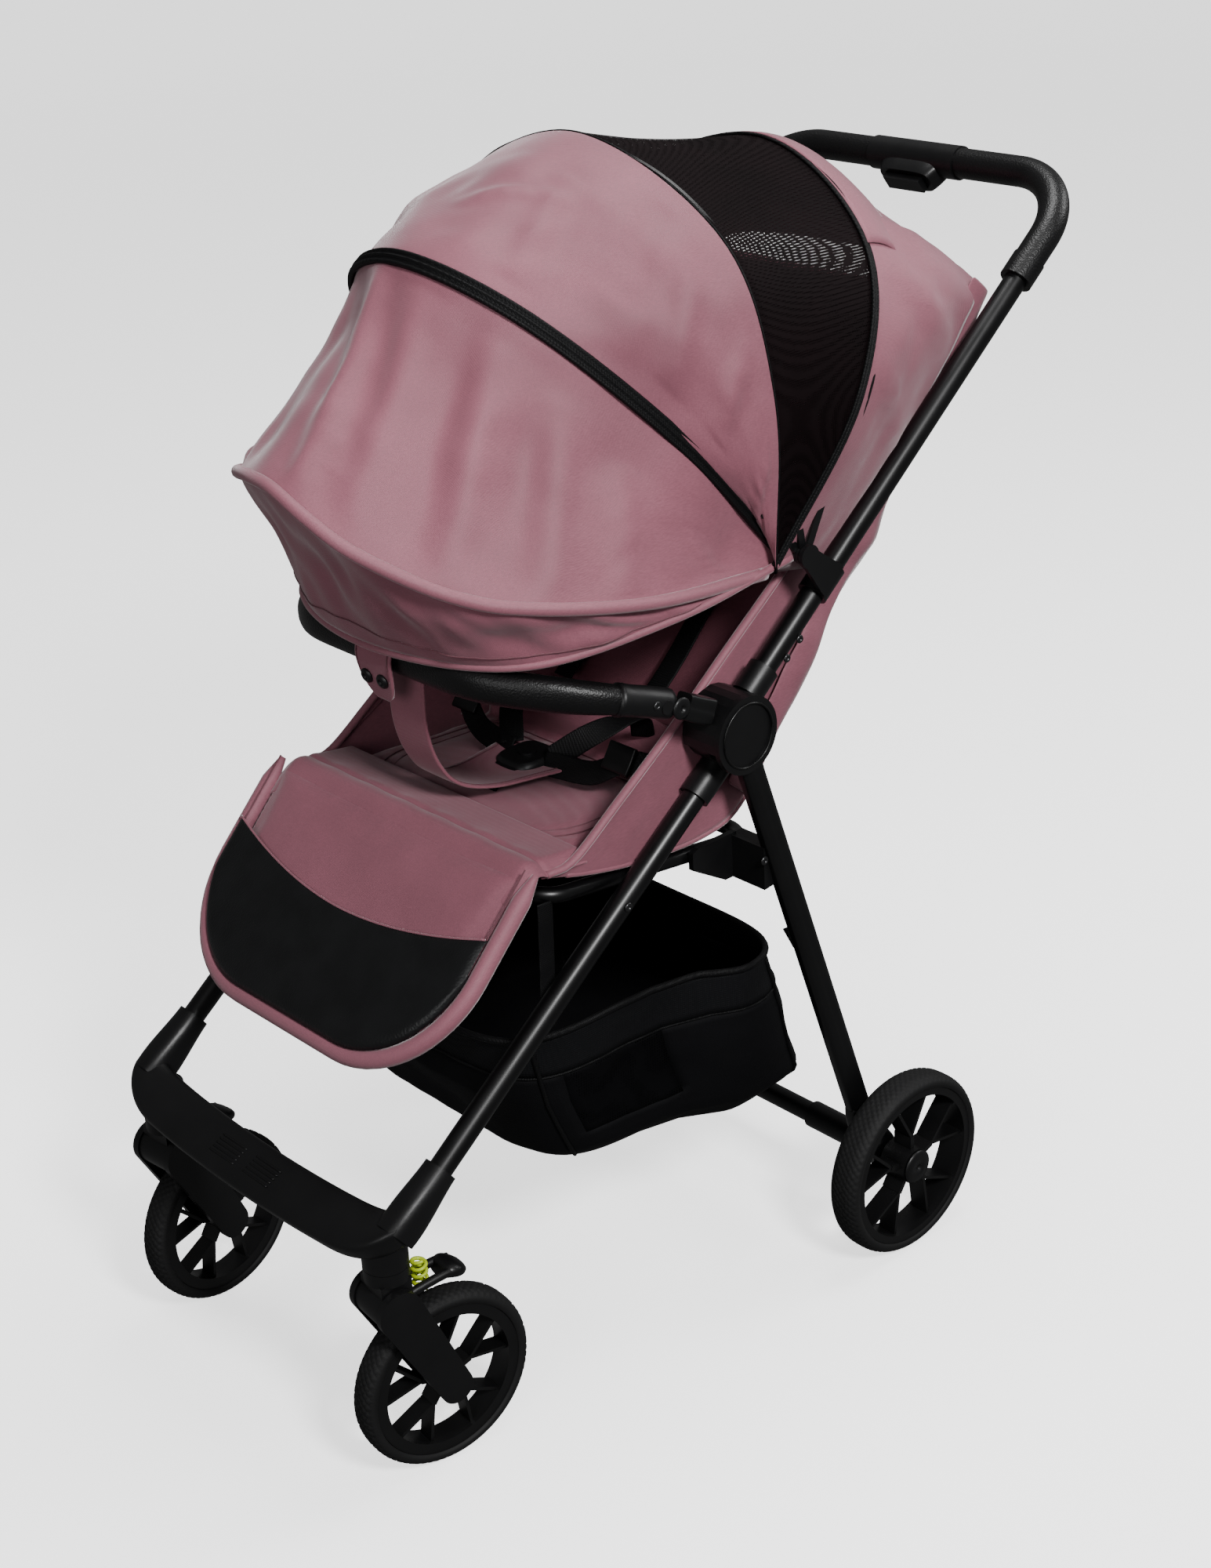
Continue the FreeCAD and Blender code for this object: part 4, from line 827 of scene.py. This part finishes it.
def seat_walls():
    """Side walls of the seat: a sheet from the seat's edge up to a stitched, bound top edge."""
    top = side_line([(-0.210, 0.5465), (-0.177, 0.549), (-0.120, 0.586), (-0.054, 0.631), (0.020, 0.686),
                     (0.091, 0.738), (0.130, 0.768)], 60)
    low = side_line([(-0.214, 0.545), (-0.150, 0.526), (-0.085, 0.514), (-0.010, 0.510), (0.040, 0.525),
                     (0.095, 0.590), (0.165, 0.690)], 60)
    for side, word in SIDES:
        sheet = []
        for t in np.linspace(0, 1, 18):
            row = low * (1 - t) + top * t
            half = 0.1795 + 0.003 * t
            row = row.copy()
            row[:, 0] = side * (half + 0.0012 * ripple(row + (0, side, 0), 30.0, 3.0, 2) * math.sin(math.pi * t))
            sheet.append(row)
        made = cloth_grid("seat_wall_" + word, sheet, "pink_fabric", 0.0022, "root")
        declare_sheet(sheet)
        if side > 0:
            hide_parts("seat_sides")
        edge = np.array(sheet[-1])
        tube("seat_wall_binding_" + word, edge + (0, 0, 0.001), 0.0046, "pink_trim", "root", 10, flat=0.8)
        under = np.array(sheet[0])[4:-6] + (side * -0.001, 0, 0.001)
        tube("seat_wall_piping_" + word, under, 0.0032, "pink_trim", "root", 8)
        line = np.array(sheet[-3]) + (side * -0.0014, 0, 0)
        tube("seat_wall_stitch_" + word, line, 0.0008, "pink_thread", "root", 6)


seat_walls()


# ---- harness -----------------------------------------------------------------------------

STRAP_ROWS = 60


def strap(name, line, width, thick, finish, body, across=(1, 0, 0)):
    """Flat strap along a line, with folded-over edges."""
    line = smooth_line(line, STRAP_ROWS)
    tangent = unit(np.gradient(line, axis=0))
    side = np.array(across, float) - tangent * (tangent @ np.array(across, float))[:, None]
    side = unit(side)
    normal = np.cross(tangent, side)
    profile = ((-0.5, 0.3), (-0.42, 0.5), (-0.2, 0.42), (0.2, 0.42), (0.42, 0.5), (0.5, 0.3), (0.5, -0.3),
               (0.42, -0.5), (-0.42, -0.5), (-0.5, -0.3))
    verts = [line[i] + side[i] * a * width + normal[i] * b * thick for i in range(STRAP_ROWS) for a, b in profile]
    made = piece(name, verts, tube_faces(STRAP_ROWS, len(profile)), finish, body)
    return made


def harness():
    for side, word in SIDES:
        shoulder = [on_back(side * 0.060, a, 0.026 + lift) for a, lift in
                    ((0.46, 0.0), (0.38, 0.001), (0.30, 0.001), (0.20, 0.002), (0.11, 0.006), (0.05, 0.016))]
        made = strap("shoulder_strap_" + word, shoulder, 0.025, 0.0016, "black_webbing", "backrest")
        if side > 0:
            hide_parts("harness_straps")
        pad = [on_back(side * 0.060, a, 0.031) for a in (0.40, 0.34, 0.28, 0.22)]
        strap("shoulder_pad_" + word, pad, 0.052, 0.009, "pink_fabric", "backrest")
        lap = [P(side * 0.165, -0.010, 0.552), P(side * 0.150, -0.030, 0.575), P(side * 0.118, -0.050, 0.583),
               P(side * 0.085, -0.062, 0.566), P(side * 0.045, -0.070, 0.563), P(side * 0.024, -0.072, 0.562)]
        strap("lap_strap_" + word, lap, 0.024, 0.0016, "black_webbing", "root", (0, 0.5, 0.8))
        loop = [P(side * 0.030, -0.066, 0.566), P(side * 0.058, -0.040, 0.590), P(side * 0.074, -0.010, 0.600),
                P(side * 0.066, 0.018, 0.590), P(side * 0.060, 0.028, 0.566)]
        strap("shoulder_tail_" + word, loop, 0.024, 0.0016, "black_webbing", "root", (0.8, 0.5, 0.0))
        slide = [P(side * 0.112 + a, -0.052, 0.586) for a in (-0.017, 0.0, 0.017)]
        strap("strap_slider_" + word, slide, 0.028, 0.005, "black_plastic", "root", (0, 0.5, 0.8))
    base = [P(0, -0.128, 0.548), P(0, -0.112, 0.556), P(0, -0.095, 0.562), P(0, -0.086, 0.563)]
    strap("crotch_webbing", base, 0.030, 0.0018, "black_webbing", "root")


COVER_ROWS, COVER_SIDES = 150, 28


def bumper_cover():
    """Padded oval sleeve over the bumper bar, with a slimmer end at each joint."""
    half = [P(0.2135, -0.084, 0.6825), P(0.2130, -0.104, 0.6905), P(0.2065, -0.135, 0.7010),
            P(0.1900, -0.166, 0.7090), P(0.1660, -0.192, 0.7150), P(0.1380, -0.213, 0.7190),
            P(0.1050, -0.2255, 0.7215), P(0.0500, -0.2280, 0.7220)]
    route = smooth_line(mirrored(half, P(0.0, -0.2280, 0.7220)), COVER_ROWS)
    rows = np.arange(COVER_ROWS)
    ends = np.minimum(rows, rows[::-1]) / 16.0
    tall = 0.0122 + 0.0040 * np.clip(ends - 0.7, 0, 1) ** 0.7
    tangent = unit(np.gradient(route, axis=0))
    side = unit(np.cross(tangent, (0.0, 0.0, 1.0)))
    rise = np.cross(side, tangent)
    verts = [route[i] + side[i] * math.copysign(abs(math.cos(a)) ** 0.8, math.cos(a)) * 0.0128
             + rise[i] * math.copysign(abs(math.sin(a)) ** 0.8, math.sin(a)) * tall[i]
             for i in rows for a in np.linspace(0, 2 * math.pi, COVER_SIDES, endpoint=False)]
    made = piece("bumper_cover", verts, tube_faces(COVER_ROWS, COVER_SIDES), "leatherette", "bumper")
    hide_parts("bumper_bar")
    for sign, word in SIDES:
        sleeve = route[:15] if sign > 0 else route[::-1][:15]
        widths = [0.0146] * 12 + [0.0150, 0.0156, 0.0156]
        tube("bumper_sleeve_" + word, sleeve, widths, "black_plastic", "bumper", 24)
        dome("bumper_screw_" + word, sleeve[6] + (sign * 0.0142, 0, 0), (sign, 0, 0), 0.0042, 0.0016,
             "dark_steel", "bumper", 0.45)


def crotch_flap():
    """Pink strap from the seat over the bumper bar, folded down in front and closed by two snaps."""
    curve = side_line([(-0.050, 0.556), (-0.090, 0.558), (-0.140, 0.562), (-0.178, 0.577), (-0.200, 0.606),
                       (-0.2105, 0.644), (-0.2105, 0.690), (-0.2110, 0.724), (-0.221, 0.7400), (-0.236, 0.7400),
                       (-0.2455, 0.724), (-0.2430, 0.700), (-0.236, 0.676)], 90)
    rows = np.linspace(-1, 1, 15)
    sheet = np.zeros((90, 15, 3))
    for i, p in enumerate(curve):
        end = max(0.0, (i - 78) / 11.0)
        base = max(0.0, 1 - i / 34.0)
        half = 0.0265 * math.sqrt(max(0.08, 1 - end ** 2.2 * 0.92)) + 0.030 * base ** 1.4
        for c, u in enumerate(rows):
            sheet[i, c] = (u * half, p[1], p[2] + 0.004 * base * u * u)
    made = cloth_grid("crotch_strap_cover", sheet, "pink_fabric", 0.0034, "root")
    softened(made)
    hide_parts("crotch_strap")
    declare_sheet(sheet)
    for side, word in SIDES:
        inset = sheet[2:84, 13 if side > 0 else 1].copy()
        out = unit(np.cross(np.gradient(inset, axis=0), (1.0, 0.0, 0.0)))
        tube("crotch_stitch_" + word, inset + out * 0.0019, 0.0007, "pink_thread", "root", 6)
        dome("crotch_snap_" + word, P(side * 0.0115, -0.2455, 0.7005),
             (0, -0.97, -0.2), 0.0074, 0.0032, "black_plastic", "root", 0.5)


harness()
bumper_cover()
crotch_flap()


# ---- basket ------------------------------------------------------------------------------

BASKET_RING = 120
# level, half-width in front and behind, y in front and behind, z in front and behind
BASKET_STATIONS = np.array(((0.0, 0.148, 0.180, -0.190, 0.118, 0.206, 0.184),
                            (0.18, 0.171, 0.202, -0.216, 0.140, 0.228, 0.204),
                            (0.6, 0.178, 0.209, -0.248, 0.114, 0.300, 0.286),
                            (1.0, 0.181, 0.212, -0.262, 0.086, 0.384, 0.368)))


def basket_ring(level):
    """One level of the basket, from its floor (0) to its rim (1): narrow in front, wide behind."""
    front, rear, y0, y1, z0, z1 = [np.interp(level, BASKET_STATIONS[:, 0], BASKET_STATIONS[:, k])
                                   for k in range(1, 7)]
    ring = []
    for a in np.linspace(0, 2 * math.pi, BASKET_RING, endpoint=False):
        c, s = math.cos(a), math.sin(a)
        share = (1 + math.copysign(abs(s) ** 0.4, s)) / 2
        y = y0 + (y1 - y0) * share
        t = min(1.0, max(0.0, (y + 0.062) / 0.082))
        half = front + (rear - front) * t * t * (3 - 2 * t)
        ring.append(P(math.copysign(abs(c) ** 0.4, c) * half, y, z0 + (z1 - z0) * share))
    return evenly(np.array(ring + ring[:1]), BASKET_RING + 1)[:-1]


def basket():
    levels = np.linspace(0, 1, 26)
    rings = np.array([basket_ring(t) for t in levels])
    middle = rings.mean(1, keepdims=True)
    out = unit((rings - middle) * (1, 1, 0))
    wave = np.array([[noise.fractal(Vector(p * 10.0) + Vector((3, 1, 2)), 0.9, 2.1, 3) for p in ring]
                     for ring in rings])
    mask = (np.sin(np.pi * np.clip(levels, 0, 1)) ** 0.6)[:, None]
    rings = rings + out * ((0.005 * wave - 0.003) * mask)[..., None]
    turn = np.linspace(0, 2 * math.pi, BASKET_RING, endpoint=False)
    sag = 0.010 * np.clip(np.abs(np.sin(turn)) * 1.3 - 0.3, 0, 1)
    rings[:, :, 2] -= sag[None, :] * (levels ** 3)[:, None]
    rim = rings[-1]
    side_net = (np.abs(rim[:, 0]) > 0.17) & (rim[:, 1] > -0.25) & (rim[:, 1] < -0.11)
    names = {"cloth": [], "net": [], "band": []}
    for r in range(25):
        for c in range(BASKET_RING):
            d = (c + 1) % BASKET_RING
            low, high = r * BASKET_RING, (r + 1) * BASKET_RING
            quad = (low + c, low + d, high + d, high + c)
            if levels[r] >= 0.76:
                names["band"].append(quad)
            elif side_net[c] and side_net[d] and 0.3 <= levels[r] < 0.76:
                names["net"].append(quad)
            else:
                names["cloth"].append(quad)
    floor = []
    flat = rings[0]
    centre = flat.mean(0)
    for share in np.linspace(0, 1, 8):
        ring = centre + (flat - centre) * share
        ring[:, 2] -= 0.006 * (1 - share ** 2)
        floor.append(ring)
    base = 26 * BASKET_RING
    verts = np.vstack([rings.reshape(-1, 3), np.array(floor).reshape(-1, 3)])
    names["cloth"] += [tuple(base + i for i in quad) for quad in grid_faces(8, BASKET_RING, True)]
    for word, finish in (("cloth", "black_fabric"), ("net", "side_mesh"), ("band", "black_band")):
        used = sorted({i for quad in names[word] for i in quad})
        index = {v: k for k, v in enumerate(used)}
        made = piece("basket_" + word, verts[used], [[index[i] for i in quad] for quad in names[word]], finish)
        shell = made.modifiers.new("thickness", "SOLIDIFY")
        shell.thickness, shell.offset = 0.0012, 0.0
        side = math.sqrt(sum(np.linalg.norm(verts[q[1]] - verts[q[0]]) * np.linalg.norm(verts[q[3]] - verts[q[0]])
                             for q in names[word]))
        if word == "cloth":
            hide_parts("basket")
        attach(made, "root")
    for level, radius in ((25, 0.0034), (19, 0.0012)):
        tube("basket_hem_%d" % level, rings[level] + out[level] * 0.001, radius, "black_webbing", "root", 8, True)
    for side, word in SIDES:
        corners = [int(np.argmin(np.linalg.norm(rim - P(side * x, y, z), axis=1)))
                   for x, y, z in ((0.207, 0.066, 0.37), (0.176, -0.240, 0.38))]
        for k, column in enumerate(corners):
            line = rings[1:25, column] + out[1:25, column] * 0.0015
            tube("basket_piping_%s_%d" % (word, k), line, 0.0022, "black_webbing", "root", 8)
        hang = [P(side * 0.176, -0.215, 0.388), P(side * 0.172, -0.208, 0.440), P(side * 0.169, -0.203, 0.512)]
        strap("basket_hanger_front_" + word, hang, 0.018, 0.0014, "black_webbing", "root", (0, 1, 0.1))
        tie = [P(side * 0.204, 0.078, 0.372), P(side * 0.213, 0.080, 0.378), P(side * 0.2235, 0.076, 0.384)]
        strap("basket_tie_" + word, tie, 0.022, 0.0014, "black_webbing", "root", (0, 0, 1))


basket()


# ---- wheels, springs and small hardware -----------------------------------------------------

CASTER_TOE = math.radians(6.4)
TREAD_PITCH = 0.0078


def tread(name, node, body, width):
    """Tyre with a round shoulder and a diamond tread cut into its running face."""
    low, high = (np.array(v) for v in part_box(node))
    centre = (low + high) / 2
    outer = (high[2] - low[2]) / 2
    toe = (-CASTER_TOE if centre[0] > 0 else CASTER_TOE) if name.startswith("front") else 0.0
    axis = np.array((math.cos(toe), math.sin(toe), 0.0))
    ahead = np.array((-math.sin(toe), math.cos(toe), 0.0))
    half = width / 2
    depth = 0.0125
    around = 420
    profile = []
    for u in np.linspace(-1, 1, 29):
        profile.append((u * half * 0.97, outer - 0.0055 * abs(u) ** 3.4 - 0.0002))
    profile += [(half, outer - 0.0085), (half * 0.96, outer - depth), (0.0, outer - depth - 0.0002),
                (-half * 0.96, outer - depth), (-half, outer - 0.0085)]
    pitch = 2 * math.pi / round(2 * math.pi * outer / TREAD_PITCH)
    verts = []
    for i in range(around):
        a = 2 * math.pi * i / around
        spoke = ahead * math.cos(a) + np.array((0, 0, 1.0)) * math.sin(a)
        for x, r in profile:
            cut = 0.0
            if r > outer - 0.0052:
                lateral = x / TREAD_PITCH
                d1 = abs((a / pitch + lateral) % 1.0 - 0.5) * 2
                d2 = abs((a / pitch - lateral) % 1.0 - 0.5) * 2
                cut = 0.0011 * max(0.0, 1 - min(1 - d1, 1 - d2) / 0.30) ** 0.6
            verts.append(centre + axis * x + spoke * (r - cut))
    made = piece(name, verts, tube_faces(around, len(profile), True), "tyre", body)
    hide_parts(node)


for side, word in SIDES:
    tread("front_tread_" + word, "front_tyre_" + word, "front_wheel_" + word, 0.030)
    tread("rear_tread_" + word, "rear_tyre_" + word, "rear_wheel_" + word, 0.035)
    low, high = (np.array(v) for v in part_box("caster_spring_" + word))
    centre = (low + high) / 2
    turns, radius = 4.0, (high[0] - low[0]) / 2 - 0.0019
    coil = []
    for t in np.linspace(0, 1, 130):
        a = 2 * math.pi * turns * t
        coil.append((centre[0] + radius * math.cos(a), centre[1] + radius * math.sin(a),
                     low[2] + 0.0015 + (high[2] - low[2] - 0.003) * t))
    made = tube("spring_coil_" + word, coil, 0.0019, "lime_paint", "caster_" + word, 8, up=(0, 0, 1))
    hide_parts("caster_spring_" + word)
    for inner in (1, -1):
        c, s, x = math.cos(CASTER_TOE), -math.sin(CASTER_TOE), 0.0115 * inner
        arm = [P(side * (0.178 + x * c - y * s), -0.4235 + x * s + y * c, z)
               for y, z in ((0.0100, 0.2020), (0.0330, 0.2050), (0.0560, 0.2065), (0.0700, 0.2040))]
        tube("lock_arm_%s_%d" % (word, inner + 1), smooth_line(arm, 20), 0.0045, "black_plastic",
             "swivel_lock_" + word, 10)
    ring = [P(side * 0.2340, 0.0315 * math.cos(a), 0.628 + 0.0315 * math.sin(a))
            for a in np.linspace(0, 2 * math.pi, 72, endpoint=False)]
    tube("hub_ring_" + word, ring, 0.0011, "painted_tube", "root", 8, True)
    dome("wheel_cap_" + word, P(side * 0.2944, 0.1677, 0.0994), (side, 0, 0), 0.0185, 0.0030, "black_plastic",
         "rear_wheel_" + word, 0.2)
    dome("bumper_joint_cap_" + word, P(side * 0.2275, -0.0780, 0.6800), (side, 0, 0), 0.0105, 0.0026,
         "black_plastic", "bumper", 0.3)
    for k, (y, z) in enumerate(((0.0853, 0.694), (0.0677, 0.680))):
        dome("tube_rivet_%s_%d" % (word, k), P(side * 0.2195, y, z), (side, 0, 0), 0.0042, 0.0018, "dark_steel",
             "root", 0.4)
    dome("rear_leg_rivet_" + word, P(side * 0.2275, 0.0229, 0.488), (side, 0, 0), 0.0048, 0.002, "dark_steel",
         "rear_frame", 0.4)
    dome("front_leg_rivet_" + word, P(side * 0.2075, -0.136, 0.4945), (side, 0, 0), 0.0045, 0.002, "dark_steel",
         "front_frame", 0.4)


def step_ribs():
    """Two groups of raised grip lines on the footrest's step."""
    face, across = np.array((0, -0.403, 0.915)), np.array((0, 0.915, 0.403))
    middle = np.array(P(0, -0.444, 0.2690)) + face * 0.0078
    for side, word in SIDES:
        for k in range(5):
            shift = middle + across * 0.0046 * (k - 2)
            line = [shift + (side * x, 0.0, 0.0) for x in np.linspace(0.008, 0.046, 12)]
            tube("step_rib_%s_%d" % (word, k), line, 0.0009, "black_plastic", "front_frame", 6)


step_ribs()


# ---- room, lights ------------------------------------------------------------------------

def room():
    """Round pale floor that turns up into a far wall, with every camera inside it."""
    spokes, count = 96, 60
    corners = [(0.01, 0.0), (7.0, 0.0), (7.7, 0.1), (8.3, 0.5), (8.7, 1.2), (8.8, 2.2), (8.8, 7.0)]
    profile = evenly(np.array(corners), count)
    verts = [(r * math.cos(a), r * math.sin(a), z)
             for a in np.linspace(0, 2 * math.pi, spokes + 1)[:-1] for r, z in profile]
    faces = grid_faces(spokes, count)
    last = (spokes - 1) * count
    faces += [(last + k, last + k + 1, k + 1, k) for k in range(count - 1)]
    faces.append(tuple(count * i for i in range(spokes)))
    back = piece("backdrop", verts, faces, "steel")
    paper = Finish("backdrop_paper", 0.9, Specular_IOR_Level=0.05)
    paper.varied((0.93, 0.93, 0.935), 1.5, 0.01)
    paper.set("Emission Color", (1.0, 1.0, 1.0, 1.0))
    paper.set("Emission Strength", 1.5)
    back.data.materials.clear()
    back.data.materials.append(paper.material)
    back.visible_diffuse = False
    back.visible_glossy = False


def light(name, place, size, power, colour=(1, 1, 1), aim=(0, 0, 0.55)):
    data = bpy.data.lights.new(name, "AREA")
    data.shape, data.size, data.energy, data.color = "DISK", size, power, colour
    made = bpy.data.objects.new(name, data)
    made.location = place
    made.rotation_mode = "QUATERNION"
    made.rotation_quaternion = (Vector(aim) - Vector(place)).to_track_quat("-Z", "Y")
    bpy.context.scene.collection.objects.link(made)


room()
light("Key", (3.0, -0.9, 3.0), 0.8, 190)
light("Fill", (1.2, -3.2, 1.7), 1.8, 34)
light("Top", (0.0, 0.6, 3.2), 1.2, 60)
light("Rim", (1.0, 2.6, 2.2), 1.2, 30)
world = bpy.data.worlds.new("Studio")
world.use_nodes = True
world.node_tree.nodes["Background"].inputs["Color"].default_value = (1.0, 1.0, 1.0, 1.0)
world.node_tree.nodes["Background"].inputs["Strength"].default_value = 0.16
bpy.context.scene.world = world
